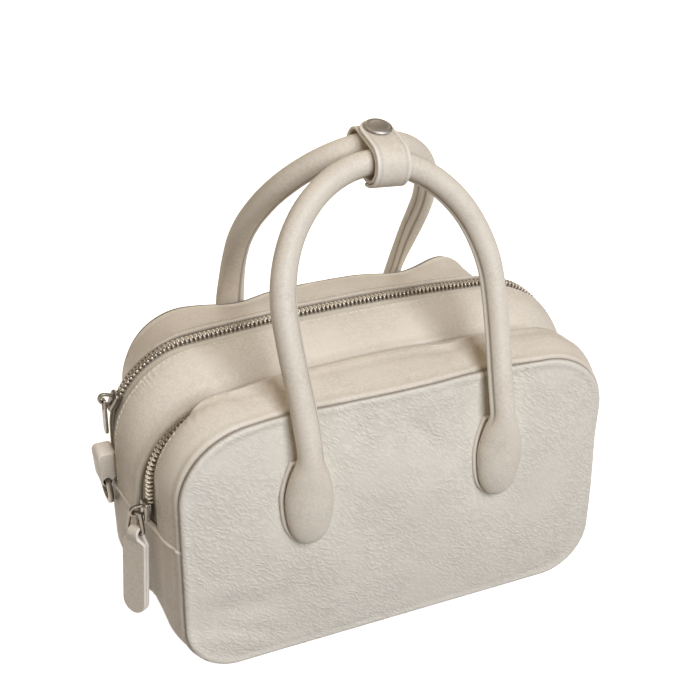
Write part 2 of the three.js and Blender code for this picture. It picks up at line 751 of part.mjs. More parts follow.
// The flat teardrop under each drop. Its rim runs out under the neck and its back is cut to lie on
// the panel.
function dropTabGeometry(x, facing, panel) {
  const rim = (up) => dropTabRim * (1 - 2.2 * up ** 4);
  const side = dropRows.map((row) => [row.wide * dropHalf + rim(row.up), dropHeight(row.up)]);
  const border = [
    [0, dropFoot],
    ...side,
    ...side.slice().reverse().map(([half, z]) => [-half, z]),
  ];
  const middle = [0, dropHeight(0.45)];
  const rings = (out) => [1, 0.55].map((size) => border.map(([across, up]) => {
    const px = x + middle[0] + (across - middle[0]) * size;
    const pz = middle[1] + (up - middle[1]) * size;
    const seam = facing < 0 ? 0 : bagDepth;
    return settle(V(px, seam + panelY(px, pz, facing) + facing * (leather + out), pz));
  }));
  const slab = plate(rings(layGap + dropTabThickness), rings(-leather / 2));
  return clearOf(slab, panel, facing);
}

// A piece cut to lie on another one, with the gap between two layers
function clearOf(piece, under, facing) {
  let solid = solidOf(piece);
  for (const depth of spread(0, 2 * leather, 4)) {
    solid = solid.subtract(solidOf(under).translate(0, facing * (layGap - depth), 0));
  }
  solid = solid.subtract(solidOf(under).translate(0, 0, seamGap)).subtract(solidOf(under));
  return geometryOf(solid);
}

const plainLeg = { place: 0, wide: 0, deep: 0 };
const handles = {
  front: {
    facing: -1, rise: panelHeight + frontRise, lean: frontLean, bend: 1.1,
    span: handleSpan, drift: frontDrift, footSpan: frontFootSpan, footShift: 0,
    legs: { left: plainLeg, right: plainLeg },
  },
  rear: {
    facing: 1, rise: panelHeight + rearRise, lean: rearLean, bend: 1.45,
    span: rearSpan, drift: rearDrift, footSpan: rearFootSpan, footShift: rearFootShift,
    legs: { left: { place: 0.3, wide: 0.3, deep: -0.3 }, right: { place: 0.35, wide: -0.5, deep: 0.1 } },
  },
};

function addHandle(name, handle, panel) {
  let tube = clearOf(handleGeometry(handle), panel, handle.facing);
  for (const [side, sign] of [['left', -1], ['right', 1]]) {
    const x = handle.footShift + (sign * handle.footSpan) / 2;
    const tab = dropTabGeometry(x, handle.facing, panel);
    place(`${name}_${side}_drop_tab`, tab, cream);
    tube = clearOf(tube, tab, handle.facing);
  }
  place(`${name}_handle`, tube, cream);
}

// Keeper: a strap round both handles, closed by a snap on its round end
function hullRing(radius, front, rear) {
  const slope = Math.atan2(rear[1] - front[1], rear[0] - front[0]);
  const shape = new THREE.Path();
  shape.absarc(front[0], front[1], radius, slope + Math.PI / 2, slope + (3 * Math.PI) / 2, false);
  shape.absarc(rear[0], rear[1], radius, slope - Math.PI / 2, slope + Math.PI / 2, false);
  shape.closePath();
  return shape.getPoints(8);
}

// The middle of a handle's tube where its arch crosses a place along the bag
function tubeMiddle(handle, x) {
  const t = Math.abs(x - handle.drift) / (handle.span / 2);
  const drop = (1 - (1 - t ** archFullness) ** (1 / archFullness)) * (handle.rise - legHeight);
  const climb = 1 - drop / (handle.rise - neckHeight);
  const neckY = neckSeat(handle);
  return { y: neckY + (handle.lean - neckY) * climb ** handle.bend, z: handle.rise - drop };
}

function addKeeper() {
  const ends = [keeperPlace - keeperWidth / 2, keeperPlace + keeperWidth / 2];
  const slopeOf = (handle) => (tubeMiddle(handle, ends[0]).z - tubeMiddle(handle, ends[1]).z) / keeperWidth;
  const incline = (slopeOf(handles.front) + slopeOf(handles.rear)) / 2;
  const turn = Math.atan(incline);
  const span = (handle) => {
    const points = [ends[0], keeperPlace, ends[1]].map((x) => tubeMiddle(handle, x));
    const heights = points.map((point, i) => point.z + (i - 1) * (keeperWidth / 2) * incline);
    const [low, high] = [Math.min(...heights), Math.max(...heights)];
    return { depths: points.map((point) => point.y), middle: (low + high) / 2, slack: (high - low) / 2 };
  };
  const [frontSpan, backSpan] = [span(handles.front), span(handles.rear)];
  const inner = handleDiameter / 2 + runGap + seamGap + Math.max(frontSpan.slack, backSpan.slack);
  const front = [Math.min(...frontSpan.depths), frontSpan.middle];
  const rear = [Math.max(...backSpan.depths), backSpan.middle];
  const middle = [(front[0] + rear[0]) / 2, (front[1] + rear[1]) / 2];
  const local = (p) => [p[0] - middle[0], p[1] - middle[1]];
  const band = new THREE.Shape(hullRing(inner + keeperThickness, local(front), local(rear)).slice(0, -1));
  band.holes.push(new THREE.Path(hullRing(inner, local(front), local(rear)).slice(0, -1)));
  const keeper = new THREE.Group();
  keeper.position.set(keeperPlace, middle[0], middle[1]);
  keeper.rotation.y = turn;
  bag.add(keeper);
  const ring = extruded(band, keeperWidth, 8);
  ring.rotateX(Math.PI / 2).rotateZ(Math.PI / 2).translate(-keeperWidth / 2, 0, 0);
  place('keeper_band', ring, cream, keeper);

  const slope = Math.atan2(rear[1] - front[1], rear[0] - front[0]);
  const top = new THREE.Group();
  top.rotation.x = slope;
  keeper.add(top);
  const apart = Math.hypot(rear[0] - front[0], rear[1] - front[1]);
  const end = new THREE.Shape();
  const half = keeperWidth / 2;
  end.moveTo(-half, -apart / 2);
  end.lineTo(half, -apart / 2);
  end.lineTo(half, apart / 2 - half / 2);
  end.absarc(0, apart / 2 - half / 2, half, 0, Math.PI, false);
  end.closePath();
  const flap = extruded(end, keeperThickness, 10);
  flap.translate(0, 0, inner + keeperThickness + layGap);
  place('keeper_end', flap, cream, top);
  const capRadius = snapDiameter / 2;
  const profile = [
    [0, 0], [capRadius * 0.86, 0], [capRadius, snapHeight * 0.35], [capRadius * 0.93, snapHeight * 0.7],
    [capRadius * 0.7, snapHeight * 0.95], [0, snapHeight],
  ].map(([r, h]) => new THREE.Vector2(r, h));
  const cap = new THREE.LatheGeometry(profile, 24).rotateX(Math.PI / 2);
  cap.translate(0, apart / 2 - half / 2, inner + 2 * keeperThickness + 2 * layGap);
  place('snap_cap', cap, silver, top);
}

// Side tabs stand out at the ends of the main zip and carry the strap rings
function addSide(name, side) {
  const sunk = leather + layGap;
  const wall = widestNear(tabFoot + tabHeight / 2, sunk);
  const bulb = ringWire / 2 + runGap + 1.5;
  const barOut = sunk + layGap + bulb + 0.4;
  const reach = sunk + tabReach;
  const barUp = bulb * 0.45;
  const corner = 3;
  const outline = new THREE.Shape();
  outline.moveTo(layGap, tabHeight);
  outline.lineTo(layGap, barUp + bulb);
  outline.lineTo(barOut - bulb, barUp);
  outline.absarc(barOut, barUp, bulb, Math.PI, 2 * Math.PI, false);
  outline.lineTo(reach, tabHeight - corner);
  outline.quadraticCurveTo(reach, tabHeight, reach - corner, tabHeight);
  outline.closePath();
  const hole = new THREE.Path();
  hole.absarc(barOut, barUp, ringWire / 2 + runGap, 0, 2 * Math.PI, false);
  outline.holes.push(hole);
  const slab = extruded(outline, tabWidth, 8);
  slab.rotateX(Math.PI / 2).translate(wall, mainZipDepth + tabWidth / 2, tabFoot);
  const tab = side > 0 ? slab : mirrored(slab);
  place(`${name}_side_tab`, tab, cream);

  const half = tabWidth / 2 + runGap + ringWire / 2;
  const fullness = 2 / 2.6;
  const bow = spread(0, Math.PI, 14).map((turn) => [
    half * bent(Math.cos(turn), fullness), -ringDrop * Math.sin(turn) ** fullness,
  ]);
  const bar = spread(-half, half, 4).slice(1, -1).map((across) => [across, 0]);
  const ring = place(`${name}_strap_ring`, wireLoop([...bow, ...bar], ringWire), silver);
  ring.position.set(side * (wall + barOut), mainZipDepth, tabFoot + barUp);
  ring.rotation.y = side * radians(ringLean);
}

function mirrored(geometry) {
  const flipped = geometry.clone().scale(-1, 1, 1);
  flipped.deleteAttribute('uv');
  flipped.deleteAttribute('normal');
  const merged = mergeVertices(flipped, 1e-4);
  const order = merged.index.array;
  for (let i = 0; i < order.length; i += 3) {
    [order[i + 1], order[i + 2]] = [order[i + 2], order[i + 1]];
  }
  merged.computeVertexNormals();
  return merged;
}

// The body's half width at a height, the largest over the depth that a side tab covers
function widestNear(height, inset) {
  const depths = spread(mainZipDepth - tabWidth / 2, mainZipDepth + tabWidth / 2, 8);
  return Math.max(...depths.map((y) => {
    const section = sectionAt(y, true);
    return Math.abs(archPoint(section, inset, 1 - shareAbove(section, height)).x);
  }));
}

addGussets();
const frontPanel = addPanel('front_panel', 0, -1, false);
const backPanel = addPanel('back_panel', bagDepth, 1, true);
addDivider();
addZips();
addHandle('front', handles.front, frontPanel);
addHandle('rear', handles.rear, backPanel);
addKeeper();
addSide('left', -1);
addSide('right', 1);

// The origin is at the middle of the whole bag's foot
const model = new THREE.Group();
model.add(bag);
model.updateMatrixWorld(true);
const reach = new THREE.Box3().setFromObject(bag, true);
const centre = reach.getCenter(V(0, 0, 0));
bag.position.set(-centre.x, -centre.y, -reach.min.z);

export default model;
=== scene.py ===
import math

import bpy
import numpy as np
from mathutils import Matrix, Vector, noise


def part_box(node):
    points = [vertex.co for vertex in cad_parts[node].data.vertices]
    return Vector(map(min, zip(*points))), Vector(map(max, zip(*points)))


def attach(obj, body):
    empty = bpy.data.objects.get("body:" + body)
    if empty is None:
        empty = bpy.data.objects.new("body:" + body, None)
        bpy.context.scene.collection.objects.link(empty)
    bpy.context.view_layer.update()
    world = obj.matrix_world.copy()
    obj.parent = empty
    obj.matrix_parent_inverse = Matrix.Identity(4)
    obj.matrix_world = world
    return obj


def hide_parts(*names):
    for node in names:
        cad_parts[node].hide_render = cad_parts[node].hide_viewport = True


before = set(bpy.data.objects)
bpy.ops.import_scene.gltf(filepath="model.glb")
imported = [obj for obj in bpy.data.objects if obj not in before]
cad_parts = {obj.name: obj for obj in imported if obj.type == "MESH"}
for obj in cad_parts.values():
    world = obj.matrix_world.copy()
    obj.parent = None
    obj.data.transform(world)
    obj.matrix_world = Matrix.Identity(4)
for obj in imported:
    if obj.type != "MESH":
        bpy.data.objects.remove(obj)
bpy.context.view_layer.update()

# Looks of a boston bag in cream leather, with two rolled handles and a zipped front compartment.
# Lengths are millimetres in the bag's own frame, whose y is 0 at the front seam and whose z is 0
# at the foot. Meshes are written in metres in the shared frame.
MM = 0.001

# Body
PANEL_WIDTH = 250
PANEL_HEIGHT = 148
FRONT_DEPTH = 41.5
MAIN_DEPTH = 89.5
BAG_DEPTH = FRONT_DEPTH + MAIN_DEPTH
BASE_SEAM = PANEL_HEIGHT - 65
PANEL_CROWN = 4
LEATHER = 2
DENT_DEPTH = 10
SEAM_GAP = 0.3
LAY_GAP = 0.35
PANEL_GAP = 0.5

# Zips
ZIP_OPENING = 18
TAPE_WIDTH = 27
TAPE_THICKNESS = 0.9
FRONT_ZIP = FRONT_DEPTH - ZIP_OPENING / 2
MAIN_ZIP = FRONT_DEPTH + 0.43 * MAIN_DEPTH

# Handles
HANDLE_DIAMETER = 13
HANDLE_SPAN = 119
REAR_SPAN = 112
REAR_FOOT_SHIFT = 5
FRONT_DRIFT = -0.8
REAR_DRIFT = 6.1
LEG_HEIGHT = PANEL_HEIGHT + 47.7
FRONT_RISE = PANEL_HEIGHT + 112.3
REAR_RISE = PANEL_HEIGHT + 115.8
FRONT_FOOT_SPAN = 113
REAR_FOOT_SPAN = 105
ARCH_FULLNESS = 1.95
DROP_WIDTH = 31
DROP_LENGTH = 56
DROP_FOOT = PANEL_HEIGHT - 76
DROP_BULGE = 9.4
TAB_THICKNESS = 1.6
TAB_RIM = 2

# Keeper
KEEPER_PLACE = 6.5
KEEPER_WIDTH = 19
KEEPER_THICKNESS = 1.8
KEEPER_ROUNDING = 0.8
SNAP_DIAMETER = 15
SNAP_HEIGHT = 2.6
RUN_GAP = 0.4

# Sliders and pulls
SLIDER_LENGTH = 11
SLIDER_WIDTH = 8.6
SLIDER_HEIGHT = 4
BAIL_REACH = 7.4
BAIL_WIRE = 1.8
BAIL_WIDTH = 2
FRONT_SLIDER_RISE = 8
FRONT_SLIDER_GAP = 1.1
MAIN_SLIDER_GAP = 0.75
MAIN_SLIDER_TURN = 25
LINK_WIRE = 1.9
LINK_TOP = 7
LINK_FOOT = 10.8
LINK_LENGTH = 12
PULL_TWIST = 35
PULL_LEAN = 5
PULL_LENGTH = 50
PULL_WIDTH = 15
PULL_THICKNESS = 4.4
METAL_PULL_LENGTH = 21
METAL_PULL_WIDTH = 5.6
METAL_PULL_THICKNESS = 1.6
METAL_EYE_LENGTH = 5.2
METAL_EYE_WIDTH = 3.4

# Side tabs and rings
TAB_WIDTH = 14
TAB_REACH = 8.6
TAB_HEIGHT = 19
TAB_FOOT = BASE_SEAM + 1
RING_WIRE = 3
RING_DROP = 15.5
RING_LEAN = 5

# Sections across the bag, as shares. Depth counts 0 to 1 through the front compartment and 1 to 2
# through the main one.
COLUMNS = ("depth", "half", "foot", "top", "upper", "lower", "bow", "bulge")
GROOVE = (1.0, 1.014, 0.03, 0.936, 0.272, 0.24, 0.073, 0.07)
FRONT_SECTIONS = (
    (0.0, 1.0, 0.0, 1.0, 0.26, 0.2, 0.016, 0.003),
    (0.46, 1.042, 0.0, 1.02, 0.25, 0.215, 0.03, 0.0),
    GROOVE,
)
MAIN_SECTIONS = (
    GROOVE,
    (1.2, 1.075, 0.0, 1.036, 0.296, 0.28, 0.042, 0.026),
    (1.43, 1.093, 0.0, 1.053, 0.29, 0.31, 0.057, 0.018),
    (1.71, 1.01, 0.0, 1.024, 0.316, 0.284, 0.042, 0.007),
    (2.0, 0.944, 0.007, 1.032, 0.278, 0.256, 0.0, -0.03),
)

# Places of the dents round the handles, as shares
FRONT_FOOT = FRONT_FOOT_SPAN / PANEL_WIDTH
REAR_FOOT = REAR_FOOT_SPAN / PANEL_WIDTH
REAR_SHIFT = 2 * REAR_FOOT_SHIFT / PANEL_WIDTH
DROP_MIDDLE = (DROP_FOOT + 0.72 * DROP_LENGTH) / PANEL_HEIGHT

# Dents and folds: place and radius as shares of half the width, the depth and the height, then how
# far the leather is pushed back and sunk, as shares of the dent depth.
DENTS = {
    "left drop": (-FRONT_FOOT, 0, DROP_MIDDLE, 0.21, 0.24, 0.27, 0.42, 0),
    "right drop": (FRONT_FOOT, 0, DROP_MIDDLE, 0.21, 0.24, 0.27, 0.42, 0),
    "left neck": (-FRONT_FOOT, 0.02, 1.0, 0.13, 0.15, 0.15, 0.68, 0.4),
    "right neck": (FRONT_FOOT, 0.02, 1.0, 0.13, 0.15, 0.15, 0.68, 0.4),
    "shade by left drop": (-0.62, 0, 0.84, 0.1, 0.12, 0.17, 0.22, 0),
    "shade by right drop": (0.28, 0, 0.88, 0.1, 0.12, 0.15, 0.18, 0),
    "left fold": (-0.2, 0, 0.86, 0.07, 0.1, 0.12, 0.15, 0),
    "middle fold": (0.06, 0, 0.8, 0.09, 0.1, 0.12, 0.18, 0),
    "low left fold": (-0.76, 0, 0.26, 0.2, 0.12, 0.07, 0.24, 0),
    "right edge pinch": (1.0, 0, 0.62, 0.09, 0.12, 0.16, 0.18, 0),
    "crease by right neck": (0.32, 0.2, 1.0, 0.12, 0.09, 0.1, 0, 0.3),
    "crease by left neck": (-0.6, 0.15, 0.98, 0.1, 0.07, 0.1, 0, 0.2),
    "shoulder bump": (0.75, 0.99, 0.99, 0.12, 0.13, 0.12, 0.1, -0.4),
    "rear left drop": (REAR_SHIFT - REAR_FOOT, 1, DROP_MIDDLE, 0.21, 0.24, 0.27, -0.42, 0),
    "rear right drop": (REAR_SHIFT + REAR_FOOT, 1, DROP_MIDDLE, 0.21, 0.24, 0.27, -0.42, 0),
    "rear left neck": (REAR_SHIFT - REAR_FOOT, 0.98, 1.0, 0.14, 0.12, 0.16, -0.45, 0.1),
    "rear right neck": (REAR_SHIFT + REAR_FOOT, 0.98, 1.0, 0.14, 0.12, 0.16, -0.45, 0.1),
}

# Where the bag's own frame lies in the shared one, read off the frame's pieces
LEFT_TAB_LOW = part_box("front_left_drop_tab")[0]
RIGHT_TAB_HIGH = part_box("front_right_drop_tab")[1]
SHIFT = np.array([
    (LEFT_TAB_LOW[0] + RIGHT_TAB_HIGH[0]) / 2 / MM,
    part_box("front_base_gusset")[0][1] / MM - PANEL_GAP,
    0,
])


# Colours and nodes

def linear(code):
    """A hex sRGB colour as the linear RGBA that shaders take."""
    values = [int(code[i:i + 2], 16) / 255 for i in (1, 3, 5)]
    return tuple(v / 12.92 if v <= 0.04045 else ((v + 0.055) / 1.055) ** 2.4 for v in values) + (1,)


def add(tree, kind, inputs=None, **settings):
    """Adds a node with its settings, and its inputs as values or as links from other sockets."""
    made = tree.nodes.new(kind)
    for key, value in settings.items():
        setattr(made, key, value)
    for key, value in (inputs or {}).items():
        if isinstance(value, bpy.types.NodeSocket):
            tree.links.new(value, made.inputs[key])
        else:
            made.inputs[key].default_value = value
    return made


def new_material(name, **shader):
    """A material with one Principled shader, whose constant sockets are given."""
    material = bpy.data.materials.new(name)
    material.use_nodes = True
    tree = material.node_tree
    tree.nodes.clear()
    surface = add(tree, "ShaderNodeBsdfPrincipled", shader)
    add(tree, "ShaderNodeOutputMaterial", {"Surface": surface.outputs[0]})
    return material, tree, surface


def ramp(tree, factor, *stops):
    """A colour ramp between grey levels, given as (place, level) pairs."""
    made = add(tree, "ShaderNodeValToRGB", {"Fac": factor})
    elements = made.color_ramp.elements
    while len(elements) < len(stops):
        elements.new(0.5)
    for element, (place, level) in zip(elements, stops):
        element.position = place
        element.color = (level, level, level, 1)
    return made.outputs["Color"]


def mixed(tree, factor, first, second, blend="MIX"):
    """A colour mix of two colours or sockets."""
    made = add(tree, "ShaderNodeMix", {0: factor, 6: first, 7: second}, data_type="RGBA", blend_type=blend)
    return made.outputs[2]


def grained_leather(name, colour, shade, grain, stretch, turn, depth, rough):
    """Embossed cow leather: short wrinkles with fine valleys, smooth and light where its edge is painted or a
    painted highlight lies, darker in its valleys and wherever the crease attribute lays painted shade.
    """
    material, tree, surface = new_material(name, **{"Specular IOR Level": 0.4, "Sheen Weight": 0.04})
    place = add(tree, "ShaderNodeTexCoord").outputs["Object"]
    warp = add(tree, "ShaderNodeTexNoise", {"Vector": place, "Scale": 1 / (9 * MM), "Detail": 2})
    offset = add(tree, "ShaderNodeVectorMath", {
        0: warp.outputs["Color"], 1: (5 * MM,) * 3,
    }, operation="MULTIPLY")
    bent = add(tree, "ShaderNodeVectorMath", {0: place, 1: offset.outputs[0]}, operation="ADD")
    laid = add(tree, "ShaderNodeMapping", {
        "Vector": bent.outputs[0], "Rotation": turn, "Scale": stretch,
    }, vector_type="TEXTURE").outputs[0]
    cells = add(tree, "ShaderNodeTexVoronoi", {
        "Vector": laid, "Scale": 1 / (grain * MM), "Smoothness": 0.6,
    }, feature="SMOOTH_F1")
    wrinkles = ramp(tree, cells.outputs["Distance"], (0.08, 1), (0.6, 0))
    fine = add(tree, "ShaderNodeTexNoise", {
        "Vector": laid, "Scale": 1 / (0.8 * MM), "Detail": 3, "Roughness": 0.6,
    })
    loose = add(tree, "ShaderNodeTexNoise", {
        "Vector": laid, "Scale": 1 / (5 * MM), "Detail": 3, "Roughness": 0.55,
    })
    height = mixed(tree, 0.3, wrinkles, fine.outputs["Fac"])
    height = mixed(tree, 0.4, height, loose.outputs["Fac"])
    patches = add(tree, "ShaderNodeTexNoise", {"Vector": place, "Scale": 1 / (26 * MM), "Detail": 1})
    smoother = ramp(tree, patches.outputs["Fac"], (0.45, 0), (0.7, 0.6))
    height = mixed(tree, smoother, height, (0.5, 0.5, 0.5, 1))
    edge = add(tree, "ShaderNodeAttribute", attribute_name="edge").outputs["Fac"]
    crease = add(tree, "ShaderNodeAttribute", attribute_name="crease").outputs["Fac"]
    height = mixed(tree, edge, height, (0.6, 0.6, 0.6, 1))
    bump = add(tree, "ShaderNodeBump", {"Strength": 1.0, "Distance": depth * MM, "Height": height})
    cloud = add(tree, "ShaderNodeTexNoise", {"Vector": place, "Scale": 1 / (45 * MM), "Detail": 2})
    tone = ramp(tree, cloud.outputs["Fac"], (0.3, 0), (0.75, 1))
    base = mixed(tree, tone, linear(colour), linear(shade))
    # Painted shade: the grain's valleys are darkened in the colour, as their shadow.
    painted_valley_shade = ramp(tree, height, (0.15, 0.72), (0.5, 1))
    base = mixed(tree, 0.5, base, painted_valley_shade, "MULTIPLY")
    # Painted shade: where the crease attribute is set (seam grooves, folds, gaps), the colour turns dark
    # taupe.
    base = mixed(tree, crease, base, linear("#6d5f4c"))
    # Lighter where the edge attribute is set: edge paint, and painted highlight on the gussets' rolled
    # ridges.
    base = mixed(tree, edge, base, linear("#f1eade"))
    tree.links.new(base, surface.inputs["Base Color"])
    tree.links.new(ramp(tree, height, (0.2, rough + 0.1), (0.8, rough - 0.06)), surface.inputs["Roughness"])
    tree.links.new(bump.outputs[0], surface.inputs["Normal"])
    return material


def twill_tape(name):
    """Woven polyester tape, with fine slanting ribs, painted shade between them and painted shade under the
    teeth.
    """
    material, tree, surface = new_material(name, **{"Roughness": 0.82, "Sheen Weight": 0.2})
    place = add(tree, "ShaderNodeTexCoord").outputs["Object"]
    rib = 0.7
    weave = add(tree, "ShaderNodeTexWave", {
        "Vector": place, "Scale": 2 * math.pi / (20 * rib * MM), "Distortion": 0.6, "Detail": 1,
    }, wave_type="BANDS", bands_direction="DIAGONAL")
    wisps = add(tree, "ShaderNodeTexNoise", {"Vector": place, "Scale": 1 / (0.5 * MM), "Detail": 2})
    height = mixed(tree, 0.35, weave.outputs["Color"], wisps.outputs["Fac"])
    bump = add(tree, "ShaderNodeBump", {"Strength": 0.5, "Distance": 0.15 * MM, "Height": height})
    # Painted shade: the low places of the weave are darkened a little in the colour.
    tone = ramp(tree, height, (0.2, 0.86), (0.7, 1))
    base = mixed(tree, 1.0, linear("#e2d9c7"), tone, "MULTIPLY")
    shaded = add(tree, "ShaderNodeAttribute", attribute_name="crease").outputs["Fac"]
    base = mixed(tree, shaded, base, linear("#5d5347"))
    tree.links.new(base, surface.inputs["Base Color"])
    tree.links.new(bump.outputs[0], surface.inputs["Normal"])
    return material


def plated_metal(name, colour, rough):
    """Nickel plating over zinc or brass: grey, with faint wear in its gloss."""
    material, tree, surface = new_material(name, **{"Metallic": 1.0})
    place = add(tree, "ShaderNodeTexCoord").outputs["Object"]
    wear = add(tree, "ShaderNodeTexNoise", {"Vector": place, "Scale": 1 / (2.5 * MM), "Detail": 4})
    scratch = add(tree, "ShaderNodeTexNoise", {"Vector": place, "Scale": 1 / (0.3 * MM), "Detail": 2})
    tone = ramp(tree, wear.outputs["Fac"], (0.3, 0.88), (0.7, 1))
    tree.links.new(mixed(tree, 1.0, linear(colour), tone, "MULTIPLY"), surface.inputs["Base Color"])
    gloss = ramp(tree, wear.outputs["Fac"], (0.3, rough + 0.12), (0.7, rough))
    tree.links.new(gloss, surface.inputs["Roughness"])
    bump = add(tree, "ShaderNodeBump", {
        "Strength": 0.2, "Distance": 0.03 * MM, "Height": scratch.outputs["Fac"],
    })
    tree.links.new(bump.outputs[0], surface.inputs["Normal"])
    return material


def bonded_thread(name):
    """Bonded thread: pale, with a faint twist."""
    material, tree, surface = new_material(name, **{"Roughness": 0.6, "Sheen Weight": 0.15})
    place = add(tree, "ShaderNodeTexCoord").outputs["Object"]
    twist = add(tree, "ShaderNodeTexNoise", {"Vector": place, "Scale": 1 / (0.4 * MM), "Detail": 1})
    tone = ramp(tree, twist.outputs["Fac"], (0.3, 0.85), (0.7, 1))
    tree.links.new(mixed(tree, 1.0, linear("#e6decf"), tone, "MULTIPLY"), surface.inputs["Base Color"])
    return material


# The panels are embossed with wrinkles this wide. The other leather has nearly the same grain, but
# much flatter.
WRINKLE = 1.35
SHELL = grained_leather(
    "pebbled_cow_leather", "#e7e1d2", "#e0d9ca", grain=WRINKLE, stretch=(2.3, 1.4, 1),
    turn=(0, math.radians(42), 0), depth=0.62, rough=0.5,
)
SOFT = grained_leather(
    "smooth_grain_cow_leather", "#e6ddcc", "#dfd5c3", grain=1.3, stretch=(1.3, 1, 1),
    turn=(0, math.radians(20), 0), depth=0.07, rough=0.46,
)
TAPE = twill_tape("woven_polyester_tape")
TEETH = plated_metal("nickel_plated_zip_teeth", "#d3cbbe", 0.34)
HARDWARE = plated_metal("brushed_nickel_plated_zinc", "#8d857a", 0.3)
SNAP = plated_metal("dull_nickel_plated_brass", "#bdb8af", 0.46)
THREAD = bonded_thread("bonded_cream_thread")


# Meshes

def mesh_piece(name, points, faces, material, attributes=None, body="bag", crisp=40):
    """A closed mesh in the shared frame, from points in the bag's frame, with its faces turned out."""
    points = np.asarray(points, dtype=float).reshape(-1, 3)
    faces = turned_out(points, faces)
    mesh = bpy.data.meshes.new(name)
    mesh.from_pydata(((points + SHIFT) * MM).tolist(), [], faces)
    for key, values in (attributes or {}).items():
        layer = mesh.attributes.new(key, "FLOAT", "POINT")
        layer.data.foreach_set("value", np.asarray(values, dtype=float).ravel())
    mesh.materials.append(material)
    mesh.shade_smooth()
    mesh.set_sharp_from_angle(angle=math.radians(crisp))
    mesh.validate()
    piece = bpy.data.objects.new(name, mesh)
    bpy.context.scene.collection.objects.link(piece)
    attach(piece, body)
    return piece


def turned_out(points, faces):
    """The faces, all turned over if they enclose a negative volume."""
    volume = 0
    for face in faces:
        a = points[face[0]]
        for i in range(1, len(face) - 1):
            volume += np.dot(a, np.cross(points[face[i]], points[face[i + 1]]))
    return [tuple(reversed(face)) for face in faces] if volume < 0 else [tuple(face) for face in faces]


def loft_faces(count, sides, endless=False):
    """Quads between rings, and a cap on each end of an open row."""
    faces = []
    for r in range(count if endless else count - 1):
        for s in range(sides):
            a, b = r * sides, (r + 1) % count * sides
            faces.append((a + s, a + (s + 1) % sides, b + (s + 1) % sides, b + s))
    if not endless:
        faces.append(tuple(reversed(range(sides))))
        faces.append(tuple(range((count - 1) * sides, count * sides)))
    return faces


def loft(name, rings, material, endless=False, **options):
    """A skin over rings of the same number of points."""
    rings = np.asarray(rings, dtype=float)
    return mesh_piece(name, rings, loft_faces(rings.shape[0], rings.shape[1], endless), material, **options)


def ripple(points, size, seed):
    """Smooth noise from -1 to 1 over points, with lumps of about the given size."""
    flat = points.reshape(-1, 3) / size + seed
    values = [noise.noise(Vector(p)) for p in flat]
    return np.array(values).reshape(points.shape[:-1])


# The bag's form

def through(rows, place, key):
    """The smooth curve through a column of a table, level where the column turns back."""
    at = np.array([row[0] for row in rows])
    value = np.array([row[COLUMNS.index(key)] for row in rows])
    return smooth(at, value, place)


def smooth(at, value, place):
    """The cubic curve through values, level where they turn back."""
    rise = np.diff(value) / np.diff(at)
    slope = np.concatenate(([rise[0]], (value[2:] - value[:-2]) / (at[2:] - at[:-2]), [rise[-1]]))
    slope[1:-1][rise[:-1] * rise[1:] <= 0] = 0
    i = np.clip(np.searchsorted(at, place, side="left") - 1, 0, len(at) - 2)
    span = at[i + 1] - at[i]
    t = (place - at[i]) / span
    return ((2 * t**3 - 3 * t**2 + 1) * value[i] + (t**3 - 2 * t**2 + t) * span * slope[i]
            + (3 * t**2 - 2 * t**3) * value[i + 1] + (t**3 - t**2) * span * slope[i + 1])


def section(y, main):
    """The outline's measures at a depth, in millimetres."""
    rows = MAIN_SECTIONS if main else FRONT_SECTIONS
    place = 1 + (y - FRONT_DEPTH) / MAIN_DEPTH if main else y / FRONT_DEPTH
    unit = {"half": PANEL_WIDTH / 2, "bulge": PANEL_WIDTH / 2}
    return {key: through(rows, place, key) * unit.get(key, PANEL_HEIGHT) for key in COLUMNS[1:]}


def swell(at, y, x, z):
    """Bows the top line and bulges the sides of a plain rounded rectangle."""
    rise = np.clip((z - at["foot"]) / (at["top"] - at["foot"]), 0, 1)
    across = x / at["half"]
    up = 2 * rise - 1
    wide = x * (1 + at["bulge"] / at["half"] * (1 - up * up))
    return np.stack(np.broadcast_arrays(wide, y, z + at["bow"] * (1 - across * across) * rise * rise), -1)


def arch(y, inset, share, main):
    """A point of the outline over the bag: 0 at the left base seam, 1 at the right one."""
    at = section(y, main)
    u = np.minimum(share, 1 - share)
    half = at["half"] - inset
    radius = at["upper"] - inset
    shoulder = at["top"] - inset - radius
    rim = BASE_SEAM + SEAM_GAP / 2
    turn = np.clip((u - 0.1) / 0.2, 0, 1) * math.pi / 2
    x = -half + radius * (1 - np.cos(turn))
    z = np.where(u < 0.1, rim + (shoulder - rim) * u / 0.1, shoulder + radius * np.sin(turn))
    x = np.where(u > 0.3, (-half + radius) * (1 - (u - 0.3) / 0.2), x)
    return swell(at, y, np.where(share > 0.5, -x, x), z)


def trough(y, inset, share, main):
    """A point of the outline under the bag: 0 at the left base seam, 1 at the right one."""
    at = section(y, main)
    u = np.minimum(share, 1 - share)
    half = at["half"] - inset
    radius = at["lower"] - inset
    heel = at["foot"] + inset + radius
    rim = BASE_SEAM - SEAM_GAP / 2
    turn = np.clip((u - 0.1) / 0.25, 0, 1) * math.pi / 2
    x = -half + radius * (1 - np.cos(turn))
    z = np.where(u < 0.1, rim + (heel - rim) * u / 0.1, heel - radius * np.sin(turn))
    x = np.where(u > 0.35, (-half + radius) * (1 - (u - 0.35) / 0.15), x)
    return swell(at, y, np.where(share > 0.5, -x, x), z)


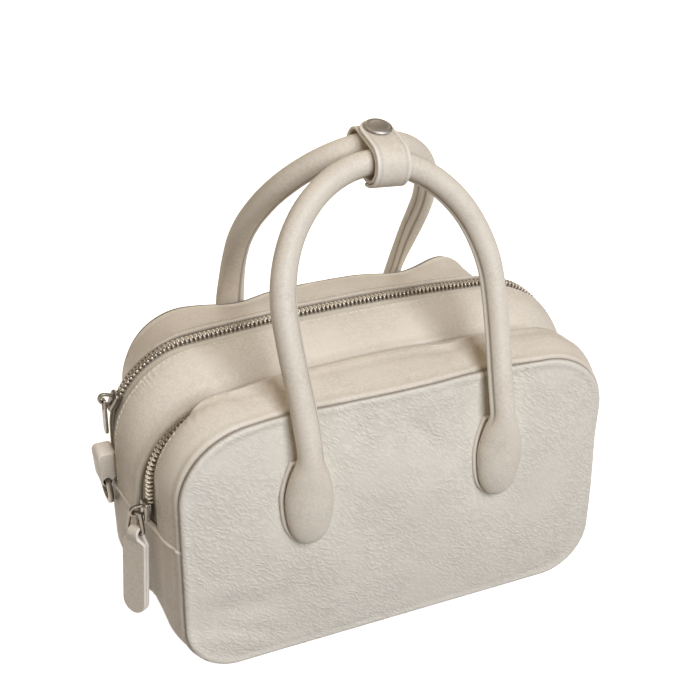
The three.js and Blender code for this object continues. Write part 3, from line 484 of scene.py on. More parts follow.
def settle(points):
    """Points of the leather, pushed in where the bag is dented."""
    settled = np.array(points, dtype=float)
    for x, y, z, rx, ry, rz, push, sink in DENTS.values():
        weight = np.exp(-((points[..., 0] / (PANEL_WIDTH / 2) - x) / rx) ** 2
                        - ((points[..., 1] / BAG_DEPTH - y) / ry) ** 2
                        - ((points[..., 2] / PANEL_HEIGHT - z) / rz) ** 2)
        settled[..., 1] += push * DENT_DEPTH * weight
        settled[..., 2] -= sink * DENT_DEPTH * weight
    return settled


def panel_y(x, z, facing):
    """How far a panel crowns out of its seam."""
    high = PANEL_HEIGHT / 2
    out = ((np.abs(x) / (PANEL_WIDTH / 2)) ** 4 + (np.abs(z - high) / high) ** 4) ** 0.25
    return facing * PANEL_CROWN * (1 - np.minimum(1, out) ** 3)


# Leather strips

def turned_edge(distance, radius):
    """How deep leather rolls in towards a seam, by the distance from it."""
    near = np.clip(1 - distance / radius, 0, 1)
    return radius * (1 - np.sqrt(1 - near ** 2))


def bead(distance, place, height, width):
    """A soft ridge along an edge."""
    return height * np.exp(-((distance - place) / width) ** 2)


def ease(share):
    """A share from 0 to 1 that starts and stops gently."""
    share = np.clip(share, 0, 1)
    return share * share * (3 - 2 * share)


def edge_steps(start, end, step, radius):
    """Places across a strip, closer together where its edges roll in."""
    roll = radius * (1 - np.cos(np.linspace(0, math.pi / 2, 6)))
    count = max(2, int((end - start - 2 * radius) / step))
    return np.concatenate((start + roll, np.linspace(start + radius, end - radius, count + 1)[1:-1],
                           (end - roll)[::-1]))


def strip_shares(columns):
    """Places along a strip, close together at both of its ends."""
    tip = np.array([0, 0.0006, 0.0015, 0.003, 0.005, 0.0075, 0.0105])
    return np.concatenate((tip, np.linspace(0.014, 0.986, columns), 1 - tip[::-1]))[:, None]


def strip(name, node, outline, start, end, main, relief, columns=300, thickness=LEATHER, inset=0,
          material=SOFT, step=1.5, reach=None):
    """A strip that follows the bag's outline. relief gives how deep its face lies, its painted crease shade
    and its painted edge and highlight, and reach moves its rear edge."""
    radius = thickness * 0.95
    share = strip_shares(columns)
    across = edge_steps(start, end, step, radius)
    back = np.linspace(end, start, 8)[1:-1]
    stretch = 1 if reach is None else (reach(share) - start) / (end - start)
    y = start + (np.broadcast_to(across, (len(share), len(across))) - start) * stretch
    behind = start + (np.broadcast_to(back, (len(share), len(back))) - start) * stretch
    rear = start + (end - start) * stretch
    plain = outline(y, inset, share, main)
    depth, crease, edge = relief(plain, y, share)
    roll = turned_edge(np.minimum(y - start, rear - y), radius)
    face = outline(y, inset + np.minimum(roll + depth, thickness), share, main)
    lift = np.minimum(depth[:, -7:-6], 0)
    inner = outline(behind, inset + thickness + lift * (behind > rear - 9), share, main)
    # Painted shade: the colour darkens within 0.9 mm of each sewn edge, where the seam's groove is.
    if inset == 0 and thickness == LEATHER:
        rim = np.clip(1 - np.minimum(y - start, rear - y) / 0.9, 0, 1)
        crease = np.maximum(crease, 0.8 * rim)
    rings = settle(np.concatenate((face, inner), axis=1))
    bare = np.zeros(behind.shape)
    piece = loft(name, rings, material, attributes={
        "crease": np.concatenate((crease, bare), axis=1), "edge": np.concatenate((edge, bare), axis=1)})
    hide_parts(node)
    return piece


# A share along a trough times this counts steps of about 0.7 mm from its end
END_STEPS = 650

# Where along the arch the front gusset starts to close over its zip and where it has closed, as
# shares, then how far its lip moves back and how far it lifts over the teeth
SHOWN = 0.2
SHUT = 0.34
LIP_REACH = 14.2
LIP_LIFT = 2.9


def pucker(share, y, line, reach):
    """Small gathers beside a line of stitches, of uneven depth."""
    wave = np.sin(share * 560 + 9 * np.sin(share * 31) + 4 * np.sin(share * 83 + 2))
    some = np.clip(0.3 + 0.5 * np.sin(share * 47 - 2.2) + 0.4 * np.sin(share * 19 - 4.6), 0, 1.1)
    return wave * some * np.exp(-((y - line) / reach) ** 2)


def gusset_relief(start, end, folded, under, seed):
    """The face of a gusset: a rolled ridge by a sewn edge, lit by a painted highlight, a flat hem with
    gathers by a zip and a faint painted shade line along it, a groove beside the hem of a rear strip,
    darkened by a painted shadow, a painted edge at both ends of a trough, and painted shade by the groove
    between the compartments."""
    def relief(points, y, share):
        depth = -0.35 * ripple(points, 26, seed) - 0.14 * ripple(points, 9, seed + 7)
        crease = np.zeros(y.shape)
        edge = np.zeros(y.shape)
        for place, side, is_folded in ((start, 1, folded[0]), (end, -1, folded[1])):
            away = side * (y - place)
            if is_folded:
                depth = depth - bead(away, 1.2, 0.2, 0.9) + bead(away, 2.4, 0.35, 0.6)
                depth = depth - 0.38 * pucker(share, y, place + side * 4.6, 2.4)
                # Painted shade: a faint dark line along the small groove beside the hem.
                crease = crease + bead(away, 2.4, 0.12, 0.5)
            else:
                depth = depth - bead(away, 2.3, 0.6, 1.2) + bead(away, 5.0, 0.35, 1.4)
                # Painted highlight: the top of the rolled ridge is lightened in the colour, through the edge
                # attribute.
                edge = edge + bead(away, 2.2, 0.12, 0.9)
        if folded[0]:
            depth = depth + bead(y - start, 8.0, 0.9, 0.7) - bead(y - start, 9.8, 0.3, 1.2)
            # Painted shadow: a dark line in the groove beside the rear strip's hem.
            crease = crease + bead(y - start, 8.0, 0.7, 0.55)
        if under:
            tip = np.minimum(share, 1 - share) * END_STEPS
            depth = depth - bead(tip, 1.6, 0.9, 1.3) + bead(tip, 0, 1.2, 0.5)
            edge = np.maximum(edge, bead(tip, 1.6, 1, 1.1))
            # Painted shade: the colour darkens towards the groove between the two compartments.
            crease = np.maximum(crease, bead(y, FRONT_DEPTH, 0.55, 3.5))
        return depth, np.clip(crease, 0, 1), np.clip(edge, 0, 1)
    return relief


def front_reach(share):
    """The front gusset closes over its zip along the top, where the two compartments press together."""
    return FRONT_ZIP - ZIP_OPENING / 2 + LIP_REACH * ease((share - SHOWN) / (SHUT - SHOWN))


def gussets():
    """The five leather strips between the panels, with their relief."""
    hem = ZIP_OPENING / 2
    spans = {
        "front_gusset": (arch, PANEL_GAP, FRONT_ZIP - hem, False, (False, True)),
        "front_base_gusset": (trough, PANEL_GAP, FRONT_DEPTH - SEAM_GAP / 2, False, (False, False)),
        "main_front_gusset": (arch, FRONT_DEPTH + SEAM_GAP / 2, MAIN_ZIP - hem, True, (False, True)),
        "main_rear_gusset": (arch, MAIN_ZIP + hem, BAG_DEPTH - PANEL_GAP, True, (True, False)),
        "main_base_gusset": (trough, FRONT_DEPTH + SEAM_GAP / 2, BAG_DEPTH - PANEL_GAP, True, (False, False)),
    }
    for seed, (node, (outline, start, end, main, folded)) in enumerate(spans.items()):
        relief = gusset_relief(start, end, folded, outline is trough, 3.7 * seed)
        columns, reach = 300, None
        if node == "front_gusset":
            relief, reach = closing_relief(relief), front_reach
        if node == "main_front_gusset":
            columns = 620
        strip(node + "_leather", node, outline, start, end, main, relief, columns=columns, reach=reach)


def closing_relief(relief):
    """Lifts the front gusset's rear lip over the teeth where it closes over them."""
    def lifted(points, y, share):
        depth, crease, edge = relief(points, y, share)
        over = front_reach(share) - (FRONT_ZIP - ZIP_OPENING / 2)
        climb = np.clip((y - (FRONT_ZIP - 8)) / 5, 0, 1) * np.clip(over / 4, 0, 1)
        return depth - LIP_LIFT * ease(climb), crease, edge
    return lifted


# Panels

def outline_ring(y, main, over, under, steps):
    """The whole outline of the bag at a depth, over the top and back under it."""
    arch_share = np.linspace(0, 1, steps)
    trough_share = np.linspace(0, 1, steps)[1:-1][::-1]
    return np.concatenate((arch(y, over, arch_share, main), trough(y, under, trough_share, main)))


def panel(name, node, y, facing, main, folds):
    """A panel that rolls in to its seam, crowns, and carries the dents and folds."""
    roll = LEATHER * 1.1
    insets = [0, 0.15, 0.45, 0.9, 1.5, 2.2, 3.2, 4.6, 6.4, 8.6]
    steps = 200
    flat = [outline_ring(y, main, inset, inset, steps) for inset in insets]
    middle = np.array([0, y, PANEL_HEIGHT / 2])
    rim = len(insets)
    for size in np.linspace(1, 0.02, 56)[1:]:
        flat.append(middle + (flat[rim - 1] - middle) * size)
    flat = np.array(flat)
    far = 99.0
    inset = np.full(flat.shape[:2], far)
    inset[:rim] = np.array(insets)[:, None]
    near = np.clip(1 - inset / roll, 0, 1)
    lift = LEATHER * np.sqrt(1 - near ** 2) + bead(inset, 2.6, 0.3, 1.3) - bead(inset, 5.5, 0.25, 1.8)
    depth, crease = folds(flat)
    outer = flat.copy()
    outer[..., 1] = y + panel_y(flat[..., 0], flat[..., 2], facing) + facing * (lift - depth * (1 - near))
    inner = flat[::-6].copy()
    inner[..., 1] = y + panel_y(inner[..., 0], inner[..., 2], facing)
    rings = settle(np.concatenate((outer[::-1], inner[::-1])))
    # Painted shade: the panel's colour darkens within 0.8 mm of its seam.
    crease = np.maximum(crease, 0.8 * np.clip(1 - inset / 0.8, 0, 1))
    creases = np.concatenate((crease[::-1], np.zeros(inner.shape[:2])))
    piece = loft(name, rings, SHELL, attributes={"crease": creases})
    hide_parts(node)
    return piece


def soft_folds(points):
    """The slack of a panel: faint waves, and soft creases under the top seam."""
    x, z = points[..., 0], points[..., 2]
    depth = 0.7 * ripple(points, 38, 2.1) + 0.2 * ripple(points, 12, 5.2)
    for at, high, lean, width, long, deep in ((-10, 128, 0.5, 3.5, 14, 0.9), (12, 122, -0.7, 4, 16, 0.8),
                                              (-26, 132, 0.9, 3, 10, 0.6), (-96, 24, 1.9, 5, 22, 1.0)):
        across = (x - at) * math.cos(lean) - (z - high) * math.sin(lean)
        along = (x - at) * math.sin(lean) + (z - high) * math.cos(lean)
        depth = depth + deep * np.exp(-(across / width) ** 2 - (along / long) ** 2)
    return depth, np.zeros(points.shape[:-1])


def panels():
    """The front and the back panel."""
    panel("front_panel_leather", "front_panel", 0, -1, False, soft_folds)
    panel("back_panel_leather", "back_panel", BAG_DEPTH, 1, True, soft_folds)


# Handles

# The domed ends: share of the length up from the foot, then shares of the half width inside the
# rim, of the bulge, and of the handle's radius behind.
DROP_ROWS = np.array([
    (0.0, 0.0, 0.0, 0.1),
    (0.015, 0.3, 0.2, 0.1),
    (0.06, 0.56, 0.42, 0.12),
    (0.16, 0.81, 0.66, 0.12),
    (0.32, 0.96, 0.88, 0.12),
    (0.5, 1.0, 1.0, 0.14),
    (0.68, 0.88, 1.0, 0.26),
    (0.86, 0.64, 0.86, 0.6),
])

# How far the sewn seam stands out, as a share of the radius, and how far the rear handle's seam has
# turned to the front, in radians
SEAM_RIDGE = 0.17
REAR_SEAM_TURN = 0.7

DROP_HALF = DROP_WIDTH / 2 - TAB_RIM
NECK = DROP_FOOT + TAB_RIM + DROP_LENGTH
RADIUS = HANDLE_DIAMETER / 2
TAB_FACE = LAY_GAP + TAB_THICKNESS + LAY_GAP
HANDLES = {
    "front": {"facing": -1, "rise": FRONT_RISE, "lean": 44.7, "bend": 1.1, "feet": FRONT_FOOT_SPAN,
              "span": HANDLE_SPAN, "drift": FRONT_DRIFT, "shift": 0,
              "left": (0, 0, 0), "right": (0, 0, 0)},
    "rear": {"facing": 1, "rise": REAR_RISE, "lean": 60.8, "bend": 1.45, "feet": REAR_FOOT_SPAN,
             "span": REAR_SPAN, "drift": REAR_DRIFT, "shift": REAR_FOOT_SHIFT,
             "left": (0.3, 0.3, -0.3), "right": (0.35, -0.5, 0.1)},
}


def seat_y(x, z, facing, out):
    """The depth of a panel's face, at a distance out from it."""
    seam = 0 if facing < 0 else BAG_DEPTH
    x, z = np.broadcast_arrays(np.asarray(x, dtype=float), np.asarray(z, dtype=float))
    y = seam + panel_y(x, z, facing) + facing * (LEATHER + out)
    return settle(np.stack((x, y, z), -1))[..., 1]


def neck_y(handle):
    """The depth of a handle's middle where it leaves its drops."""
    foot = handle["shift"] - handle["feet"] / 2
    return float(seat_y(foot, NECK, handle["facing"], TAB_FACE)) + handle["facing"] * RADIUS


def climb_point(handle, z, x):
    """A place on a handle's leaning plane."""
    climb = (z - NECK) / (handle["rise"] - NECK)
    start = neck_y(handle)
    shift = handle["shift"] + (handle["drift"] - handle["shift"]) * climb
    return (x + shift, start + (handle["lean"] - start) * climb ** handle["bend"], z)


def handle_leg(handle, side):
    """Sections from a drop's foot to the top of the arch: place, half width, reach front and back."""
    rows = []
    foot = handle["shift"] + side * handle["feet"] / 2
    up = np.concatenate((0.06 * np.linspace(0.05, 1, 8) ** 1.6, np.linspace(0.06, 0.98, 26)[1:]))
    table = [smooth(DROP_ROWS[:, 0], DROP_ROWS[:, column], up) for column in (1, 2, 3)]
    wide = np.where(up < 0.06, 0.56 * np.sqrt(up / 0.06), table[0])
    front = np.where(up < 0.06, 0.42 * np.sqrt(up / 0.06), table[1])
    for share, half, reach, back in zip(up, wide, front, table[2]):
        z = DROP_FOOT + TAB_RIM + share * DROP_LENGTH
        blend = ease((share - 0.8) / 0.2)
        half, reach, back = (v + (u - v) * blend for v, u in (
            (half * DROP_HALF, RADIUS), (reach * DROP_BULGE, RADIUS), (back * RADIUS, RADIUS)))
        y = float(seat_y(foot, z, handle["facing"], TAB_FACE))
        y += handle["facing"] * (back + (RUN_GAP + 0.1) * (1 - blend))
        rows.append(((foot, y, z), half, reach, back, 1 - blend))
    place, wider, deeper = handle["left" if side < 0 else "right"]
    for t in np.linspace(0, 1, 26):
        z = NECK + (LEG_HEIGHT - NECK) * t
        x = side * (handle["feet"] + (handle["span"] - handle["feet"]) * ease(t)) / 2
        pinch = math.exp(-((t - place) / 0.35) ** 2)
        reach = RADIUS * (1 + deeper * pinch)
        rows.append((climb_point(handle, z, x), RADIUS * (1 + wider * pinch), reach, reach, 0))
    for turn in np.linspace(0, math.pi / 2, 34)[1:]:
        x = side * handle["span"] / 2 * max(0, math.cos(turn)) ** (2 / ARCH_FULLNESS)
        z = LEG_HEIGHT + (handle["rise"] - LEG_HEIGHT) * math.sin(turn) ** (2 / ARCH_FULLNESS)
        rows.append((climb_point(handle, z, x), RADIUS, RADIUS, RADIUS, 0))
    return rows


def handle_tube(name, node, handle):
    """One rolled leather tube from drop to drop, with its sewn seam inside the arch."""
    left, right = handle_leg(handle, -1), handle_leg(handle, 1)
    rows = left + right[:-1][::-1]
    middles = np.array([row[0] for row in rows], dtype=float)
    forward = np.array([0, handle["facing"], 0], dtype=float)
    along = np.gradient(middles, axis=0)
    count = len(rows)
    flat = np.array([row[4] for row in rows])[:, None]
    rising = np.where(np.arange(count) < count / 2, 1.0, -1.0)[:, None] * np.array([0, 0, 1.0])
    along /= np.linalg.norm(along, axis=1, keepdims=True)
    along = along * (1 - flat) + rising * flat
    along /= np.linalg.norm(along, axis=1, keepdims=True)
    out = forward - along * (along @ forward)[:, None]
    out /= np.linalg.norm(out, axis=1, keepdims=True)
    across = np.cross(along, out)
    turn = np.linspace(0, 2 * math.pi, 73)[:-1]
    wide, front, back = (np.array([row[i] for row in rows])[:, None] for i in (1, 2, 3))
    deep = np.where(np.sin(turn) > 0, front, back)
    inside = 0.0 if handle["facing"] < 0 else math.pi + REAR_SEAM_TURN
    from_seam = np.abs(np.angle(np.exp(1j * (turn - inside))))
    seam = np.exp(-(from_seam / 0.2) ** 4) * (1 - flat)
    swell_by = 1 + SEAM_RIDGE * seam
    rings = (middles[:, None]
             + across[:, None] * (np.cos(turn) * wide * swell_by)[..., None]
             + out[:, None] * (np.sin(turn) * deep)[..., None])
    rings += 0.12 * ripple(rings, 16, 4.4)[..., None] * (rings - middles[:, None]) / RADIUS
    # Painted shade: dark lines on both sides of the sewn seam's ridge.
    crease = bead(from_seam, 0.33, 0.75, 0.1) * (1 - flat)
    piece = loft(name, rings, SOFT, attributes={"crease": crease, "edge": seam * 0.6})
    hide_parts(node)
    return piece


def drop_outline(steps, grow):
    """The teardrop round a drop, as (across, height) points, counted up one side and down the other."""
    up = np.concatenate((0.06 * np.linspace(0, 1, 10) ** 1.8, np.linspace(0.06, 0.86, steps)[1:]))
    half = smooth(DROP_ROWS[:, 0], DROP_ROWS[:, 1], up) * DROP_HALF
    half = np.where(up < 0.06, 0.56 * DROP_HALF * np.sqrt(up / 0.06), half) + grow * (1 - 2.2 * up ** 4)
    height = DROP_FOOT + TAB_RIM + up * DROP_LENGTH
    height[0] -= grow
    half[0] = 0
    side = np.stack((half, height), -1)
    return np.concatenate((side, (side * (-1, 1))[:0:-1]))


def drop_tab(name, node, x, facing):
    """The flat leather tear under a drop, with a rounded and painted edge."""
    border = drop_outline(34, TAB_RIM)
    middle = np.array([0, DROP_FOOT + TAB_RIM + 0.45 * DROP_LENGTH])
    reach = np.linalg.norm(border - middle, axis=1)[:, None]
    rings, edges, creases = [], [], []
    for inset in (0, 0.12, 0.4, 0.8, 1.3, 2.2, 3.4):
        at = middle + (border - middle) * (1 - inset / reach)
        lift = TAB_THICKNESS * math.sqrt(1 - max(0, 1 - inset / 0.8) ** 2)
        y = seat_y(x + at[:, 0], at[:, 1], facing, LAY_GAP + lift)
        rings.append(np.stack((x + at[:, 0], y, at[:, 1]), -1))
        edges.append(np.full(len(at), math.exp(-(inset / 0.55) ** 2)))
        # Painted shadow: a dark ring on the tear, where the domed drop meets it.
        creases.append(np.full(len(at), 0.55 * math.exp(-((inset - 2.3) / 0.6) ** 2)))
    for size in (0.7, 0.35, 0.05):
        at = middle + (border - middle) * size
        y = seat_y(x + at[:, 0], at[:, 1], facing, LAY_GAP + TAB_THICKNESS)
        rings.append(np.stack((x + at[:, 0], y, at[:, 1]), -1))
        edges.append(np.zeros(len(at)))
        creases.append(np.zeros(len(at)))
    backs = []
    for size in (0.05, 0.5, 0.97):
        at = middle + (border - middle) * size
        y = seat_y(x + at[:, 0], at[:, 1], facing, LAY_GAP)
        backs.append(np.stack((x + at[:, 0], y, at[:, 1]), -1))
    rows = rings[::-1] + backs[::-1]
    edge = np.concatenate((np.array(edges[::-1]), np.zeros((3, len(border)))))
    crease = np.concatenate((np.array(creases[::-1]), np.zeros((3, len(border)))))
    piece = loft(name, rows, SOFT, attributes={"edge": edge, "crease": crease})
    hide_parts(node)
    return piece


def handle_set():
    """Both handles, each with the tears under its two drops."""
    for name, handle in HANDLES.items():
        handle_tube(name + "_rolled_handle", name + "_handle", handle)
        for side, sign in (("left", -1), ("right", 1)):
            foot = handle["shift"] + sign * handle["feet"] / 2
            drop_tab(f"{name}_{side}_tear", f"{name}_{side}_drop_tab", foot, handle["facing"])


# Keeper

def hull_ring(radius, front, rear, steps=40):
    """The loop round two circles of one radius, in the plane across the bag."""
    slope = math.atan2(rear[1] - front[1], rear[0] - front[0])
    half = np.linspace(math.pi / 2, 3 * math.pi / 2, steps)
    first = np.stack((front[0] + radius * np.cos(slope + half), front[1] + radius * np.sin(slope + half)), -1)
    second = np.stack((rear[0] - radius * np.cos(slope + half), rear[1] - radius * np.sin(slope + half)), -1)
    lower = first[-1] + (second[0] - first[-1]) * np.linspace(0, 1, 10)[1:-1, None]
    upper = second[-1] + (first[0] - second[-1]) * np.linspace(0, 1, 10)[1:-1, None]
    return np.concatenate((first, lower, second, upper))


def tube_middle(handle, x):
    """The middle of a handle's tube where its arch crosses a place along the bag."""
    t = abs(x - handle["drift"]) / (handle["span"] / 2)
    drop = (1 - (1 - t ** ARCH_FULLNESS) ** (1 / ARCH_FULLNESS)) * (handle["rise"] - LEG_HEIGHT)
    point = climb_point(handle, handle["rise"] - drop, 0)
    return np.array([point[1], point[2]])


def keeper_frame():
    """The keeper's place and turns, and the two circles that it runs round."""
    ends = [KEEPER_PLACE - KEEPER_WIDTH / 2, KEEPER_PLACE + KEEPER_WIDTH / 2]
    paths = {name: [tube_middle(HANDLES[name], x) for x in (ends[0], KEEPER_PLACE, ends[1])]
             for name in ("front", "rear")}
    incline = sum((path[0][1] - path[2][1]) / KEEPER_WIDTH for path in paths.values()) / 2
    turn = math.atan(incline)
    levels = {name: [p[1] + (i - 1) * KEEPER_WIDTH / 2 * incline for i, p in enumerate(path)]
              for name, path in paths.items()}
    inner = RADIUS + RUN_GAP + SEAM_GAP + max((max(level) - min(level)) / 2 for level in levels.values())
    front = np.array([min(p[0] for p in paths["front"]), (max(levels["front"]) + min(levels["front"])) / 2])
    rear = np.array([max(p[0] for p in paths["rear"]), (max(levels["rear"]) + min(levels["rear"])) / 2])
    middle = (front + rear) / 2
    place = Matrix.Translation((KEEPER_PLACE, middle[0], middle[1])) @ Matrix.Rotation(turn, 4, "Y")
    slope = math.atan2(rear[1] - front[1], rear[0] - front[0])
    return {"place": place, "front": front - middle, "rear": rear - middle, "inner": inner,
            "lid": place @ Matrix.Rotation(slope, 4, "X"), "apart": float(np.linalg.norm(rear - front))}


def moved(points, matrix):
    """Points turned and placed by a matrix."""
    m = np.array(matrix)
    return np.asarray(points) @ m[:3, :3].T + m[:3, 3]


def rounded_band(half_width, thickness, radius, steps=5):
    """A strap's section as (across, up) points: a flat rectangle with rounded corners."""
    corners = []
    side, high = half_width - radius, thickness - radius
    for cx, cy, start in ((side, high, 0), (-side, high, 90), (-side, radius, 180), (side, radius, 270)):
        turn = np.radians(start + np.linspace(0, 90, steps))
        corners.append(np.stack((cx + radius * np.cos(turn), cy + radius * np.sin(turn)), -1))
    flat = np.concatenate(corners)
    across = np.linspace(side, -side, 13)[1:-1]
    top = np.stack((across, np.full(11, thickness)), -1)
    low = np.stack((-across, np.zeros(11)), -1)
    return np.concatenate((flat[:steps], top, flat[steps:3 * steps], low, flat[3 * steps:]))


def keeper():
    """The strap round both handles, its outer end and the snap."""
    frame_of = keeper_frame()
    half = KEEPER_WIDTH / 2
    path = hull_ring(frame_of["inner"], frame_of["front"], frame_of["rear"])
    along = np.roll(path, -1, axis=0) - np.roll(path, 1, axis=0)
    out = np.stack((along[:, 1], -along[:, 0]), -1)
    out /= np.linalg.norm(out, axis=1, keepdims=True)
    out *= np.sign((out * path).sum())
    profile = rounded_band(half, KEEPER_THICKNESS, KEEPER_ROUNDING)
    rings = [[(across, p[0] + o[0] * up, p[1] + o[1] * up) for across, up in profile]
             for p, o in zip(path, out)]
    edge = np.tile(np.clip((np.abs(profile[:, 0]) - half + 0.9) / 0.5, 0, 1), (len(path), 1))
    # Painted shade: a dark line 1.9 mm inside each edge of the strap, standing in for a creased line's
    # groove.
    crease = np.tile(bead(half - np.abs(profile[:, 0]), 1.9, 0.35, 0.35), (len(path), 1))
    band = loft("keeper_strap", moved(rings, frame_of["place"]), SOFT, endless=True,
                attributes={"edge": edge, "crease": crease})
    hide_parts("keeper_band")
    keeper_flap(frame_of)
    height = frame_of["inner"] + 2 * (KEEPER_THICKNESS + LAY_GAP)
    snap(frame_of["lid"], (0, frame_of["apart"] / 2 - half / 2, height))


def keeper_flap(frame_of):
    """The strap's outer end: up the front, over both handles, and round at the tip."""
    half = KEEPER_WIDTH / 2
    radius = frame_of["inner"] + KEEPER_THICKNESS + LAY_GAP
    apart = frame_of["apart"]
    tip = apart / 2 + half / 2
    round_off = half * (1 - np.cos(np.linspace(0, math.pi / 2, 16)))
    flat = np.concatenate((tip - round_off, np.linspace(tip - half, -apart / 2, 14)[1:]))
    turn = np.linspace(0, 0.98 * math.pi, 40)[1:]
    path = np.array([(0, y, radius) for y in flat] + [
        (0, -apart / 2 - radius * math.sin(t), radius * math.cos(t)) for t in turn])
    along = np.gradient(path, axis=0)
    along /= np.linalg.norm(along, axis=1, keepdims=True)
    out = np.stack((along[:, 0], along[:, 2], -along[:, 1]), -1)
    wide = np.full(len(path), half)
    rounds = len(round_off)
    out *= np.sign(out[rounds, 2])
    past = (path[:rounds, 1] - tip + half) / half
    wide[:rounds] = half * np.sqrt(np.maximum(0, 1 - past ** 2)) + 0.02
    rings, edges, creases = [], [], []
    for place, o, w in zip(path, out, wide):
        profile = rounded_band(max(w, KEEPER_ROUNDING + 0.05), KEEPER_THICKNESS, KEEPER_ROUNDING)
        rings.append([place + np.array((across, 0, 0)) + o * up for across, up in profile])
        edges.append(np.clip((np.abs(profile[:, 0]) - w + 1.1) / 0.5, 0, 1))
        # Painted shade: a dark line 1.9 mm inside each edge of the flap, standing in for a creased line's
        # groove.
        creases.append(bead(w - np.abs(profile[:, 0]), 1.9, 0.4, 0.4))
    piece = loft("keeper_flap", moved(rings, frame_of["lid"]), SOFT,
                 attributes={"edge": np.array(edges), "crease": np.array(creases)})
    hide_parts("keeper_end")


def turned(name, profile, matrix, material, node, body="bag", steps=64):
    """A shape turned round its own upright axis from (radius, height) points."""
    turn = np.linspace(0, 2 * math.pi, steps + 1)[:-1]
    rows = [[(r * math.cos(t), r * math.sin(t), h) for t in turn] for r, h in profile]
    piece = loft(name, moved(rows, matrix), material, body=body)
    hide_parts(node)
    return piece


def snap(matrix, place):
    """A dull snap disc: a shallow dish inside a rolled rim."""
    radius = SNAP_DIAMETER / 2
    profile = [(0.02, 0), (radius * 0.86, 0), (radius * 0.97, 0.4), (radius, 0.95), (radius * 0.96, 1.6),
               (radius * 0.88, 2.0), (radius * 0.78, 2.1), (radius * 0.72, 1.95), (radius * 0.62, 2.05),
               (radius * 0.4, SNAP_HEIGHT * 0.94), (radius * 0.2, SNAP_HEIGHT * 0.99), (0.02, SNAP_HEIGHT)]
    turned("snap_disc", profile, matrix @ Matrix.Translation(place), SNAP, "snap_cap")


# Repeats along lines

def repeater():
    """Geometry nodes that set copies of an item along lines, turned to each line's own axes."""
    tree = bpy.data.node_groups.new("copies_along_lines", "GeometryNodeTree")
    kinds = {"Lines": "Geometry", "Item": "Object", "Pitch": "Float", "Every second": "Float",
             "Wobble": "Float", "Seed": "Int", "Material": "Material"}
    for label, kind in kinds.items():
        tree.interface.new_socket(label, in_out="INPUT", socket_type="NodeSocket" + kind)
    tree.interface.new_socket("Copies", in_out="OUTPUT", socket_type="NodeSocketGeometry")
    given = add(tree, "NodeGroupInput").outputs
    curves = add(tree, "GeometryNodeMeshToCurve", {"Mesh": given["Lines"]})
    spaced = add(tree, "GeometryNodeResampleCurve", {
        "Curve": curves.outputs[0], "Length": given["Pitch"],
    }, mode="LENGTH")
    along, out = (
        add(tree, "GeometryNodeInputNamedAttribute", {"Name": key}, data_type="FLOAT_VECTOR").outputs[0]
        for key in ("along", "out")
    )
    facing = add(tree, "FunctionNodeAxesToRotation", {
        "Primary Axis": along, "Secondary Axis": out,
    }, primary_axis="X", secondary_axis="Z")
    order = add(tree, "GeometryNodeInputIndex")
    odd = add(tree, "ShaderNodeMath", {0: order.outputs[0], 1: 2.0}, operation="MODULO")
    turn = add(tree, "ShaderNodeMath", {0: odd.outputs[0], 1: given["Every second"]}, operation="MULTIPLY")
    back = add(tree, "ShaderNodeMath", {0: given["Wobble"], 1: -1.0}, operation="MULTIPLY")
    shake = add(tree, "FunctionNodeRandomValue", {
        2: back.outputs[0], 3: given["Wobble"], "Seed": given["Seed"],
    }, data_type="FLOAT")
    angle = add(tree, "ShaderNodeMath", {0: turn.outputs[0], 1: shake.outputs[1]}, operation="ADD")
    spin = add(tree, "ShaderNodeCombineXYZ", {"Z": angle.outputs[0]})
    euler = add(tree, "FunctionNodeEulerToRotation", {0: spin.outputs[0]})
    placed = add(tree, "FunctionNodeRotateRotation", {
        0: facing.outputs[0], 1: euler.outputs[0],
    }, rotation_space="LOCAL")
    item = add(tree, "GeometryNodeObjectInfo", {"Object": given["Item"]})
    copies = add(tree, "GeometryNodeInstanceOnPoints", {
        "Points": spaced.outputs[0], "Instance": item.outputs["Geometry"], "Rotation": placed.outputs[0],
    })
    real = add(tree, "GeometryNodeRealizeInstances", {0: copies.outputs[0]})
    dressed = add(tree, "GeometryNodeSetMaterial", {
        "Geometry": real.outputs[0], "Material": given["Material"],
    })
    add(tree, "NodeGroupOutput", {0: dressed.outputs[0]})
    return tree


REPEATER = repeater()


def item_object(name, rings):
    """A small closed mesh in metres round the origin, from rings in millimetres."""
    rings = np.asarray(rings, dtype=float)
    points = rings.reshape(-1, 3)
    mesh = bpy.data.meshes.new(name)
    faces = turned_out(points, loft_faces(rings.shape[0], rings.shape[1]))
    mesh.from_pydata((points * MM).tolist(), [], faces)
    mesh.shade_smooth()
    mesh.set_sharp_from_angle(angle=math.radians(50))
    made = bpy.data.objects.new(name, mesh)
    bpy.context.scene.collection.objects.link(made)
    return made


